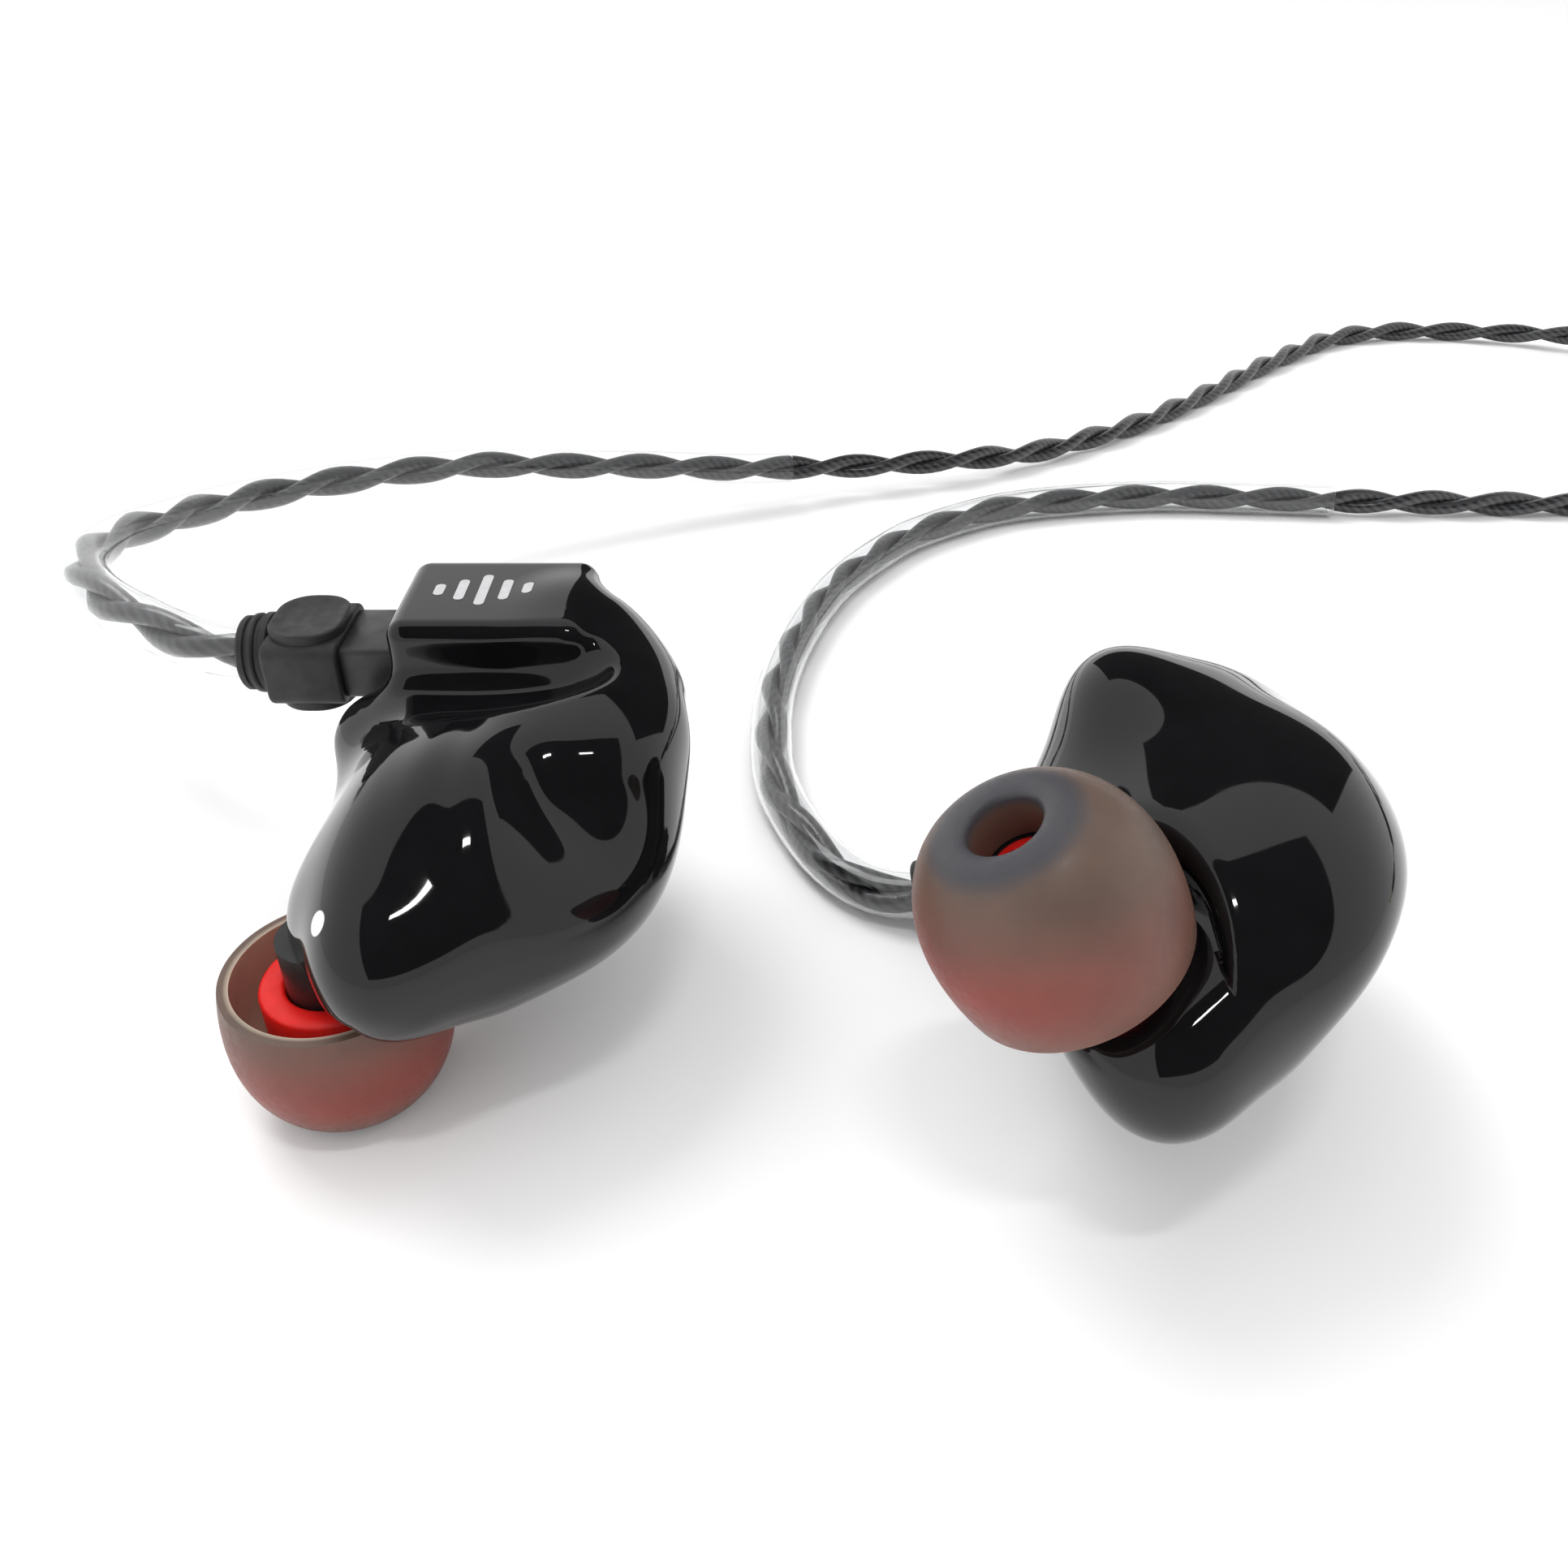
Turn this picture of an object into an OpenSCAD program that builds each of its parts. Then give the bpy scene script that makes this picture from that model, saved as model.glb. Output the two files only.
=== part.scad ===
// Pair of universal-fit in ear monitors on a detachable two-pin cable.
// Each monitor is modelled once in its own frame: the nozzle axis is Z, the
// front of the ear tip is at z = 0, +Z points away from the head, +Y up the
// head and -X forwards. The right monitor is the mirrored left one.

/* [Ear tip] */
// Widest diameter of the silicone dome
tip_d = 11.2; // [9:0.1:14]
// Length of the dome from its front to the edge of its skirt
tip_h = 8.1; // [7.6:0.05:8.7]
// Thickness of the dome's skin
tip_skin = 0.6; // [0.4:0.05:0.9]
// Outer diameter of the red core
core_d = 7.1; // [6.4:0.1:7.6]
// Length of the red core
core_h = 6.2; // [5:0.1:6.8]
// Diameter of the sound hole in the front of the tip
sound_hole_d = 3.3; // [2.5:0.1:4.2]

/* [Nozzle] */
// Outer diameter of the nozzle tube
nozzle_d = 4.4; // [4:0.1:4.8]
// Sound bore of the nozzle
nozzle_bore = 2.3; // [2.2:0.1:2.8]
// Length of the nozzle tube
nozzle_h = 7.9; // [7.2:0.1:8.5]
// Height of the nozzle's end over the front of the tip
nozzle_z = 2.4; // [2:0.1:2.8]
// Thickness of the wax filter in the nozzle's end
filter_h = 0.5; // [0.3:0.05:0.8]
// Radial clearance between the nozzle and the tip's core
tip_fit = 0.05; // [0.02:0.01:0.09]

/* [Shell] */
// Wall of the moulded shell
shell_wall = 1.1; // [0.8:0.05:1.2]
// Height of the joint between the shell and the faceplate
split_z = 13.6; // [13.2:0.1:13.8]
// Radius over which the shell's lobes run into each other
lobe_blend = 2.0; // [1.9:0.05:2.1]
// Height of the shell's flat seat behind the ear tip
seat_z = 9.1; // [9.0:0.05:9.4]

/* [Connector block] */
// Length of the block on the faceplate
block_l = 10.4; // [9.4:0.1:12]
// Width of the block, up the head
block_w = 8.6; // [8:0.1:9.4]
// Height of the block's top over the front of the tip
block_z = 20.3; // [19.6:0.1:21]
// Radius of the block's edges
block_round = 1.0; // [0.6:0.1:1.4]

/* [Plug] */
// Width of the two-pin plug
plug_w = 5.2; // [4.8:0.1:5.6]
// Thickness of the two-pin plug
plug_t = 3.0; // [2.6:0.1:3.2]
// Length of the plug that stands out of the block
plug_l = 3.4; // [2:0.1:5]
// Depth of the recess that the plug seats in
recess_l = 1.5; // [1:0.1:2]
// Clearance of the plug in its recess
recess_fit = 0.12; // [0.08:0.01:0.2]
// Diameter of the plug's pins
pin_d = 0.78; // [0.7:0.02:0.86]
// Length of the pins out of the plug
pin_l = 4.2; // [3.6:0.1:4.8]
// Distance between the pins
pin_pitch = 2.7; // [2.5:0.1:2.8]
// Radial clearance of the pins in their contacts
pin_fit = 0.03; // [0.02:0.01:0.06]
// Length of the moulded head behind the plug
head_l = 4.2; // [3.6:0.1:5]
// Extra width of the head on each side of the plug
head_lip = 0.5; // [0.2:0.1:0.8]
// Height of the finger pads on the head
pad_h = 0.5; // [0.3:0.1:0.8]
// Length of the round collar on the ear hook
collar_l = 1.8; // [1.2:0.1:3]
// Diameter of the round collar
collar_d = 4.2; // [3.8:0.1:4.4]

/* [Ear hook and cable] */
// Outer diameter of the clear ear hook
hook_d = 3.0; // [2.8:0.05:3.2]
// Diameter over the twisted strands of the cable
cable_d = 2.4; // [2.2:0.05:2.5]
// Gap between the cable and the ear hook that it runs through
hook_gap = 0.1; // [0.05:0.01:0.12]
// Mid-turn diameter of the coiled cable
coil_d = 28; // [26:0.5:30]
// Turns side by side in the coil
coil_cols = 3; // [2:1:4]
// Layers of turns in the coil
coil_rows = 3; // [2:1:4]

/* [Splitter and slider] */
// Diameter of the Y splitter
splitter_d = 6.0; // [5.8:0.1:8]
// Length of the Y splitter
splitter_l = 14; // [10:0.5:20]
// Length of the chin slider
slider_l = 7; // [5:0.5:9]
// Width of the chin slider
slider_w = 7.6; // [7.2:0.1:9]
// Distance between the two leads in the slider and the splitter
lead_pitch = 2.9; // [2.8:0.05:3.1]
// Radial clearance of the leads in the slider
slider_fit = 0.1; // [0.05:0.01:0.15]

/* [Jack plug] */
// Diameter of the jack
jack_d = 3.5; // [3.4:0.05:3.6]
// Length of the jack
jack_l = 14; // [13.5:0.1:15]
// Diameter of the jack's housing
housing_d = 7.8; // [7:0.1:9]
// Length of the jack's housing
housing_l = 17; // [14:0.5:22]
// Length of the strain relief behind the housing
relief_l = 12; // [8:0.5:16]

/* [Hidden] */
$fn = 48;

// Placement of each monitor: the front of its ear tip
left_at = [-22.3, -4.8, 0];
right_at = [7.3, -10.3, 18.8];
right_turn = [3.9, -27.9, -3.8];

// The nozzle sits a little further forward and lower on the right shell
right_nozzle_shift = [2.4, -0.2, -1.5];
right_spout_shift = [2.4, -0.2, -1.0];

// Lobes of the shell: centre and half sizes
bowl = [[10.1, 5.1, 11.2], [5.8, 7.3, 4.2]];
heel = [[10.5, 17.0, 14.4], [3.5, 3.7, 5.3]];
plate = [[6.8, 9.0, 10.2], [7.4, 5.6, 3.2]];
toe = [[4.2, -3.9, 11.3], [1.9, 2.1, 2.4]];
nose = [[6.7, 2.8, 11.9], [1.8, 3.7, 4.8]];
cheek = [[4.6, 1.3, 11.8], [1.7, 2.8, 2.1]];
brow = [[5.4, 12.5, 14.2], [6.2, 1.5, 1.8]];
horn = [[7.1, 15.1, 9.7], [3.2, 4.9, 5.5]];
flank = [[13.3, 10.6, 15.9], [2.7, 5.3, 2.0]];
lip = [[4.3, 5.0, 11.9], [1.6, 4.2, 3.1]];
spout = [[1.2, 1.5, 10.0], [2.2, 2.3, 1.9]];
body_lobes = [bowl, heel, plate, toe, nose, cheek, brow, horn, flank, lip];
left_lobes = concat(body_lobes, [spout]);
right_lobes = concat(body_lobes, [[spout[0] + right_spout_shift, spout[1]]]);
shell_mid = [7.5, 9.0, 11.8];
shell_reach = 24;
cut = 60;

// Connector block and the plug in its front wall
block_depth = 8;
block_mid = [6.6, 16.7, block_z - block_depth/2];
plug_mouth = [block_mid.x - block_l/2, 17.6, 16.0];

// Gaps of glued parts, and of parts that seat against each other
glue_gap = 0.02;
seat_gap = 0.05;

// Seat of the ear tip on the shell, and the nozzle's filter
block_bevel = 0.7;
rim = 0.4;
seat_r = 5.9;
seat_depth = 4;
filter_d = 3.0;
filter_hole = 0.45;
filter_hole_ring = 0.95;

// Ear tip
dome_hub = 2.25;
tip_belly = 5.3;
skirt_reach = 6.8;
lip_round = 0.3;
core_z = 1.3;
web_h = 0.3;

// Drivers, their ports, sound tubes and dampers
low_size = [6.4, 3.6, 2.2];
high_size = [5, 2.7, 2.0];
low_at = [10.6, 5.2, 11.35];
high_at = [9.8, 11.5, 11.9];
driver_round = 0.5;
port_d = 1.3;
port_l = 0.8;
port_bore = 0.8;
solder_d = 0.9;
solder_h = 0.3;
tube_d = 1.2;
tube_bore = 0.8;
tube_offset = [0.3, -0.64, 0];
elbow_r = 0.8;
damper_l = 0.5;
damper_bore = 0.3;
board_size = [5, 3.6, 0.6];
chip_size = [1.4, 2, 0.5];
board_at = [high_at.x, high_at.y,
            high_at.z + high_size.z/2 + board_size.z/2 + glue_gap];

// Socket
socket_t = 3.4;
socket_w = 4.3;
socket_l = 5.2;
contact_d = 1.2;
pin_slack = 0.3;
pin_root = 2;

// Plug head
head_rise = 0.35;
hook_seat = 1.2;
pad_round = 1.8;

// Leads, splitter, slider and coil
splitter_x = 150;
bundle_y = 117;
splitter_taper = 4;
entry_l = 4;
bundle_x = [112, 120, 128, 136, 144, splitter_x + entry_l - seat_gap];
slider_x = 134;
slider_lift = 0.2;
slider_round = 1.2;
coil_at = [150, 85, 0];
coil_edge = (coil_d + coil_cols*cable_d + cable_d)/2 + seat_gap;
tie_w = 5;
tie_wall = 0.6;

// Jack
jack_at = [170, 60, housing_d/2];
grip_rings = 4;
grip_z = 4;
grip_step = 2;
grip_depth = 0.35;
sleeve_end = 6.2;
ring_end = 9.6;
band_l = 0.5;
tip_band_l = 0.6;
tip_cone_l = jack_l - ring_end - band_l;

// Routes of the two leads and of the main cable
left_hook_rings = 16;
left_route = [
    [-33.4, 13.6, 16.1], [-37.2, 16, 16.2], [-41.5, 19.6, 16.2], [-45, 25.1, 15.6],
    [-46, 31.6, 14.6], [-45, 38.1, 13.2], [-43, 44.6, 11.8], [-39.5, 50.6, 10.6],
    [-34, 56.6, 9.4], [-27.5, 61.6, 8.2], [-20, 65.1, 6.8], [-12.5, 68.1, 5.6],
    [-5, 70.6, 4.4], [0.5, 72.4, 3.8],
    [5, 74.2, 3.2], [11, 75.9, 2.8], [19.6, 78.8, 2.3], [26.5, 82.6, 1.6],
    [33, 87.1, 1.4], [39.4, 92.3, 1.2], [45.5, 98.1, 1.2], [51.8, 104.7, 1.2],
    [59, 112.6, 1.2], [65.5, 119.1, 1.2], [72.4, 125.1, 1.2], [80.5, 128.1, 1.2],
    [89.5, 128.1, 1.2], [98, 125.6, 1.6], [105, 121.6, 2.4]];
right_hook_rings = 16;
right_route = [
    [5.3, 9.4, 1.55], [2.9, 12, 1.5], [1, 15.9, 1.5], [-0.4, 20.4, 1.5], [-0.9, 25.6, 1.5],
    [-0.55, 33.4, 1.5], [1.2, 41.8, 1.5], [4.2, 50.3, 1.5], [8.3, 57.1, 1.5],
    [12.9, 62.4, 1.5], [21.8, 68, 1.5], [34.6, 70.6, 1.5], [45, 70.3, 1.5],
    [53.4, 69.6, 1.5],
    [62, 69.5, 1.4], [70, 69.6, 1.2], [76.6, 69.5, 1.2], [86, 68.6, 1.2],
    [95.5, 67.1, 1.2], [105, 67.6, 1.2], [113, 71.6, 1.2], [117.5, 79.6, 1.2],
    [115, 88.1, 1.2], [107.5, 93.1, 1.2], [101, 98.1, 1.2], [98.5, 105.6, 1.6], [103, 113.6, 2.4]];
split_route = [[164, 117, 3], [170, 116, 2.4], [174, 112, 1.6], [174.5, 106, 1.2],
               [172.5, 99, 1.2], [168.5, 92, 1.2]];
jack_route = [[169, 77, 1.2], [170, 71, 2.6]];

// ---------- colours ----------
lacquer = [0.03, 0.03, 0.035];
smoke = [0.42, 0.35, 0.32];
core_red = [0.8, 0.06, 0.05];
matte_black = [0.09, 0.09, 0.1];
gold = [0.85, 0.66, 0.3];
steel = [0.7, 0.71, 0.73];
clear = [0.85, 0.88, 0.9, 0.35];
board_green = [0.08, 0.3, 0.16];

// ---------- shell surface ----------
// Signed distance to an ellipsoidal lobe, near its surface
function lobe_distance(p, lobe) =
    let (q = p - lobe[0], r = lobe[1],
         a = [q.x/r.x, q.y/r.y, q.z/r.z],
         b = [a.x/r.x, a.y/r.y, a.z/r.z],
         k = norm(a))
    k * (k - 1) / (norm(b) + 1e-9);

function total(list, i = 0) = i < len(list) ? list[i] + total(list, i + 1) : 0;

// Smooth union of distances, softer with a larger radius
function blend(distances, radius) =
    -radius * ln(total([for (d = distances) exp(-d / radius)]));

function shell_distance(p, lobes) = blend([for (l = lobes) lobe_distance(p, l)], lobe_blend);

// Distance from shell_mid to the surface that lies depth below the skin
function skin_radius(dir, lobes, depth, near = 0, far = shell_reach, steps = 12) =
    let (half = (near + far) / 2)
    steps == 0 ? half
    : shell_distance(shell_mid + dir * half, lobes) < -depth
        ? skin_radius(dir, lobes, depth, half, far, steps - 1)
        : skin_radius(dir, lobes, depth, near, half, steps - 1);

function ray(turn, tilt) = [cos(turn) * sin(tilt), sin(turn) * sin(tilt), cos(tilt)];

function skin_point(turn, tilt, lobes, depth) =
    let (dir = ray(turn, tilt)) shell_mid + dir * skin_radius(dir, lobes, depth);

// Closed lobed surface, depth below the skin, as rings between two poles
module skin(lobes, depth, rings, sides) {
    last = 1 + (rings - 1) * sides;
    points = concat(
        [skin_point(0, 0, lobes, depth)],
        [for (i = [1:rings-1]) for (j = [0:sides-1])
            skin_point(360 * j / sides, 180 * i / rings, lobes, depth)],
        [skin_point(0, 180, lobes, depth)]);
    function at(i, j) = 1 + (i - 1) * sides + j % sides;
    faces = concat(
        [for (j = [0:sides-1]) [0, at(1, j + 1), at(1, j)]],
        [for (i = [1:rings-2]) for (j = [0:sides-1]) each [
            [at(i, j), at(i, j + 1), at(i + 1, j + 1)],
            [at(i, j), at(i + 1, j + 1), at(i + 1, j)]]],
        [for (j = [0:sides-1]) [last, at(rings - 1, j), at(rings - 1, j + 1)]]);
    polyhedron(points, faces, convexity = 6);
}

// ---------- swept tubes ----------
function unit(v) = v / norm(v);
function heading(path, i) =
    unit(unit(path[min(i + 1, len(path) - 1)] - path[max(min(i, len(path) - 2), 0)])
       + unit(path[max(min(i, len(path) - 1), 1)] - path[max(i - 1, 0)]));

// Ring of points around the path at its point i
function tube_ring(path, i, radius, sides) =
    let (t = heading(path, i), side = unit(cross(t, [0, 0, 1])), up = cross(side, t))
    [for (j = [0:sides-1]) path[i] + radius * (cos(360*j/sides) * side + sin(360*j/sides) * up)];

module rod_along(path, radius, sides) {
    n = len(path);
    points = [for (i = [0:n-1]) each tube_ring(path, i, radius, sides)];
    function at(i, j) = i * sides + j % sides;
    faces = concat(
        [[for (j = [0:sides-1]) at(0, j)]],
        [for (i = [0:n-2]) for (j = [0:sides-1]) each [
            [at(i, j), at(i + 1, j + 1), at(i, j + 1)],
            [at(i, j), at(i + 1, j), at(i + 1, j + 1)]]],
        [[for (j = [sides-1:-1:0]) at(n - 1, j)]]);
    polyhedron(points, faces, convexity = 10);
}

module hose_along(path, outer, inner, sides) {
    n = len(path);
    m = n * sides;
    points = concat([for (i = [0:n-1]) each tube_ring(path, i, outer, sides)],
                    [for (i = [0:n-1]) each tube_ring(path, i, inner, sides)]);
    function at(i, j, wall = 0) = wall * m + i * sides + j % sides;
    faces = concat(
        [for (i = [0:n-2]) for (j = [0:sides-1]) each [
            [at(i, j), at(i + 1, j + 1), at(i, j + 1)],
            [at(i, j), at(i + 1, j), at(i + 1, j + 1)],
            [at(i, j, 1), at(i, j + 1, 1), at(i + 1, j + 1, 1)],
            [at(i, j, 1), at(i + 1, j + 1, 1), at(i + 1, j, 1)]]],
        [for (j = [0:sides-1]) each [
            [at(0, j), at(0, j + 1), at(0, j + 1, 1)],
            [at(0, j), at(0, j + 1, 1), at(0, j, 1)],
            [at(n-1, j), at(n-1, j + 1, 1), at(n-1, j + 1)],
            [at(n-1, j), at(n-1, j, 1), at(n-1, j + 1, 1)]]]);
    polyhedron(points, faces, convexity = 10);
}

// ---------- placement ----------
function turned(v, a) =
    let (x = [v.x, v.y*cos(a.x) - v.z*sin(a.x), v.y*sin(a.x) + v.z*cos(a.x)],
         y = [x.x*cos(a.y) + x.z*sin(a.y), x.y, -x.x*sin(a.y) + x.z*cos(a.y)])
    [y.x*cos(a.z) - y.y*sin(a.z), y.x*sin(a.z) + y.y*cos(a.z), y.z];
function on_left(p) = left_at + p;
function on_right(p) = right_at + turned([p.x, p.y, -p.z], right_turn);

module place(right) {
    if (right) translate(right_at) rotate(right_turn) mirror([0, 0, 1]) children();
    else translate(left_at) children();
}

// The nozzle sits a little further forward on the right shell
module at_nozzle(right) {
    translate(right ? right_nozzle_shift : [0, 0, 0]) children();
}

// The plug's frame: +Z out of the connector block, X across the plug's thickness
module at_plug() {
    translate(plug_mouth) rotate([0, -90, 0]) children();
}

module at_jack() {
    translate(jack_at) rotate([90, 0, 0]) children();
}

// Box with its four upright edges rounded, centred on X and Y
module rounded_box(size, r) {
    linear_extrude(size.z) {
        square([size.x - 2*r, size.y], center = true);
        square([size.x, size.y - 2*r], center = true);
        for (sx = [-1, 1], sy = [-1, 1])
            translate([sx * (size.x/2 - r), sy * (size.y/2 - r)]) circle(r = r);
    }
}

// ---------- shell and faceplate ----------
// Connector block with rounded upright edges and a bevelled top
module block() {
    translate([block_mid.x, block_mid.y, block_z - block_depth]) {
        rounded_box([block_l, block_w, block_depth - block_bevel], block_round);
        hull() {
            translate([0, 0, block_depth - block_bevel - rim])
                rounded_box([block_l, block_w, rim], block_round);
            translate([0, 0, block_depth - rim])
                rounded_box([block_l - 2*block_bevel, block_w - 2*block_bevel, rim],
                            block_round);
        }
    }
}

module block_room() {
    translate([block_mid.x, block_mid.y, block_z - block_depth + rim])
        rounded_box([block_l - 2*shell_wall, block_w - 2*shell_wall,
                     block_depth - rim - shell_wall], 0.3);
}

module shell_solid(right) {
    lobes = right ? right_lobes : left_lobes;
    difference() {
        union() {
            skin(lobes, 0, 22, 36);
            block();
        }
        skin(lobes, shell_wall, 12, 20);
        block_room();
        at_nozzle(right) {
            translate([0, 0, -seat_depth]) cylinder(r = seat_r, h = seat_z + seat_depth);
            cylinder(d = nozzle_d + 2*glue_gap, h = nozzle_z + nozzle_h + 1);
        }
        plug_recess();
        tube_rods(right, tube_d + 2*glue_gap, seat_gap);
    }
}

module plug_recess() {
    at_plug() translate([-plug_t/2 - recess_fit, -plug_w/2 - recess_fit, -recess_l])
        cube([plug_t + 2*recess_fit, plug_w + 2*recess_fit, recess_l + 2]);
}

module shell(right) color(lacquer) place(right)
    intersection() {
        shell_solid(right);
        translate([-cut, -cut, split_z - 2*cut]) cube(2*cut);
    }

module faceplate(right) color(lacquer) place(right)
    intersection() {
        shell_solid(right);
        translate([-cut, -cut, split_z]) cube(2*cut);
    }

module nozzle(right) color(matte_black) place(right) at_nozzle(right)
    translate([0, 0, nozzle_z]) difference() {
        cylinder(d = nozzle_d, h = nozzle_h);
        translate([0, 0, -1]) cylinder(d = nozzle_bore, h = nozzle_h + 2);
        translate([0, 0, -1]) cylinder(d = filter_d + 2*glue_gap, h = filter_h + 1);
    }

// Perforated disc in the nozzle's end
module wax_filter(right) color(core_red) place(right) at_nozzle(right)
    translate([0, 0, nozzle_z]) difference() {
        cylinder(d = filter_d, h = filter_h);
        for (i = [0:6])
            rotate(60 * i) translate([i == 6 ? 0 : filter_hole_ring, 0, -1])
                cylinder(d = filter_hole, h = filter_h + 2);
    }

// ---------- acoustic parts ----------
// Balanced-armature can with a sound port on its forward end
module driver(size) {
    translate([0, 0, -size.z/2]) rounded_box(size, driver_round);
    translate([-size.x/2 - port_l, 0, 0]) rotate([0, 90, 0]) difference() {
        cylinder(d = port_d, h = port_l);
        translate([0, 0, -1]) cylinder(d = port_bore, h = port_l + 1);
    }
    translate([size.x/2, 0, 0]) rotate([0, 90, 0]) for (s = [-1, 1])
        translate([0, s * size.y/4, 0]) cylinder(d = solder_d, h = solder_h);
}

// The two drivers, each turned so that its port faces its own sound tube
driver_at = [low_at, high_at];
driver_size = [low_size, high_size];
function tube_mouth(right, i) =
    (right ? right_nozzle_shift : [0, 0, 0]) + [0, 0, nozzle_z + nozzle_h + seat_gap]
    + (i == 0 ? 1 : -1) * tube_offset;
function tube_reach(right, i) = driver_at[i] - tube_mouth(right, i);
function tube_turn(right, i) =
    let (v = tube_reach(right, i)) [0, 0, atan2(v.y, v.x)];

module aimed(right, i) translate(driver_at[i]) rotate(tube_turn(right, i)) children();

module low_driver(right) color(steel) place(right) aimed(right, 0) driver(low_size);
module high_driver(right) color(steel) place(right) aimed(right, 1) driver(high_size);

module crossover(right) place(right) translate(board_at) {
    color(board_green) translate([0, 0, -board_size.z/2]) rounded_box(board_size, driver_round);
    color(matte_black) for (s = [-1, 1])
        translate([s * board_size.x/4, 0, board_size.z/2])
            rounded_box(chip_size, 0.2);
}

// Round rod that rises, turns through an elbow and runs level
module elbow_rod(rise, level, d, past = 0) {
    translate([0, 0, -past]) cylinder(d = d, h = rise + past);
    translate([elbow_r, 0, rise]) rotate([90, 0, 0]) rotate([0, 0, 90])
        rotate_extrude(angle = 90) translate([elbow_r, 0]) circle(d = d);
    translate([elbow_r, 0, rise + elbow_r]) rotate([0, 90, 0])
        cylinder(d = d, h = level + past);
}

// A bent rod from each port to the nozzle's rear
module tube_rods(right, d, past = 0)
    for (i = [0:1]) {
        v = tube_reach(right, i);
        level = norm([v.x, v.y]) - elbow_r - driver_size[i].x/2 - port_l - seat_gap;
        translate(tube_mouth(right, i)) rotate(tube_turn(right, i))
            elbow_rod(v.z - elbow_r, level, d, past);
    }

module sound_tubes(right) color(clear) place(right) difference() {
    tube_rods(right, tube_d);
    tube_rods(right, tube_bore, 1);
}

// Disc with a hole, pressed in each driver's port
module dampers(right) color(gold) place(right)
    for (i = [0:1])
        aimed(right, i) translate([-driver_size[i].x/2 - port_l, 0, 0]) rotate([0, 90, 0])
            difference() {
                cylinder(d = port_bore, h = damper_l);
                translate([0, 0, -1]) cylinder(d = damper_bore, h = damper_l + 2);
            }

// ---------- two-pin socket ----------
module socket(right) color(matte_black) place(right) at_plug()
    difference() {
        translate([-socket_t/2, -socket_w/2, -recess_l - socket_l])
            cube([socket_t, socket_w, socket_l]);
        for (s = [-1, 1])
            translate([0, s * pin_pitch/2, -recess_l - socket_l - 1])
                cylinder(d = contact_d + 2*glue_gap, h = socket_l + 2);
    }

module contacts(right) color(gold) place(right) at_plug()
    for (s = [-1, 1])
        translate([0, s * pin_pitch/2, -recess_l - socket_l]) difference() {
            cylinder(d = contact_d, h = socket_l);
            translate([0, 0, socket_l - pin_l - pin_slack])
                cylinder(d = pin_d + 2*pin_fit, h = pin_l + pin_slack + 1);
        }

// ---------- ear tip ----------
function dome_curve(skin, front, turns) =
    [for (a = turns)
        [dome_hub + (tip_d/2 - skin - dome_hub) * cos(a),
         tip_belly + (a < 0 ? (tip_belly - front) : skirt_reach) * sin(a)]];

module tip_dome(right) color(smoke) place(right) at_nozzle(right)
    rotate_extrude($fn = 72)
        polygon(concat(
            [[sound_hole_d/2, lip_round]],
            dome_curve(0, 0, [-90:10:0]),
            dome_curve(0, 0, [5:5:skirt_turn(0)]),
            [[skirt_r(0), tip_h], [skirt_r(tip_skin), tip_h]],
            dome_curve(tip_skin, core_z, [skirt_turn(tip_skin):-5:0]),
            dome_curve(tip_skin, core_z, [-5:-10:-55]),
            [[core_d/2, core_z + web_h], [core_d/2, core_z], [sound_hole_d/2, core_z]]));

function skirt_turn(skin) = 5 * floor(asin((tip_h - tip_belly) / skirt_reach) / 5);
function skirt_r(skin) =
    dome_hub + (tip_d/2 - skin - dome_hub) * cos(asin((tip_h - tip_belly) / skirt_reach));

module tip_core(right) color(core_red) place(right) at_nozzle(right)
    translate([0, 0, core_z]) difference() {
        cylinder(d = core_d, h = core_h);
        translate([0, 0, -1]) cylinder(d = nozzle_d + 2*tip_fit, h = core_h + 2);
    }

// ---------- two-pin plug ----------
module plug_body(right) color(matte_black) place(right) at_plug()
    difference() {
        translate([0, 0, -recess_l + seat_gap])
            rounded_box([plug_t, plug_w, recess_l - seat_gap + plug_l], 0.35);
        for (s = [-1, 1])
            translate([0, s * pin_pitch/2, -recess_l])
                cylinder(d = pin_d, h = pin_root);
    }

module plug_pins(right) color(gold) place(right) at_plug()
    for (s = [-1, 1])
        translate([0, s * pin_pitch/2, -recess_l + seat_gap - pin_l])
            cylinder(d = pin_d, h = pin_l + pin_root - seat_gap);

// Overmoulded head with a finger pad on both faces
module plug_head(right) color(matte_black) place(right) at_plug()
    translate([0, 0, plug_l]) difference() {
        union() {
            rounded_box([plug_t + 2*head_rise, plug_w + 2*head_lip, head_l], 0.8);
            for (s = [-1, 1])
                translate([s * (plug_t/2 + head_rise), 0, head_l/2])
                    rotate([0, s * 90, 0])
                        rounded_box([head_l, plug_w, pad_h], pad_round);
        }
        translate([0, 0, head_l - hook_seat])
            cylinder(d = hook_d + 2*glue_gap, h = hook_seat + 1);
    }

module hook_collar(right) color(matte_black) place(right) at_plug()
    translate([0, 0, plug_l + head_l]) difference() {
        cylinder(d1 = collar_d + 0.4, d2 = collar_d, h = collar_l);
        translate([0, 0, -1]) cylinder(d = hook_d + 2*glue_gap, h = collar_l + 2);
    }

// ---------- ear hooks and leads ----------
hook_start = plug_l + head_l - hook_seat + seat_gap;
function plug_point(out) = plug_mouth - [out, 0, 0];
left_start = [for (out = [hook_start, hook_start + 3]) on_left(plug_point(out))];
right_start = [for (out = [hook_start, hook_start + 3]) on_right(plug_point(out))];
function bundle(side, x) = [x, bundle_y + side * lead_pitch/2, splitter_d/2];

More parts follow.
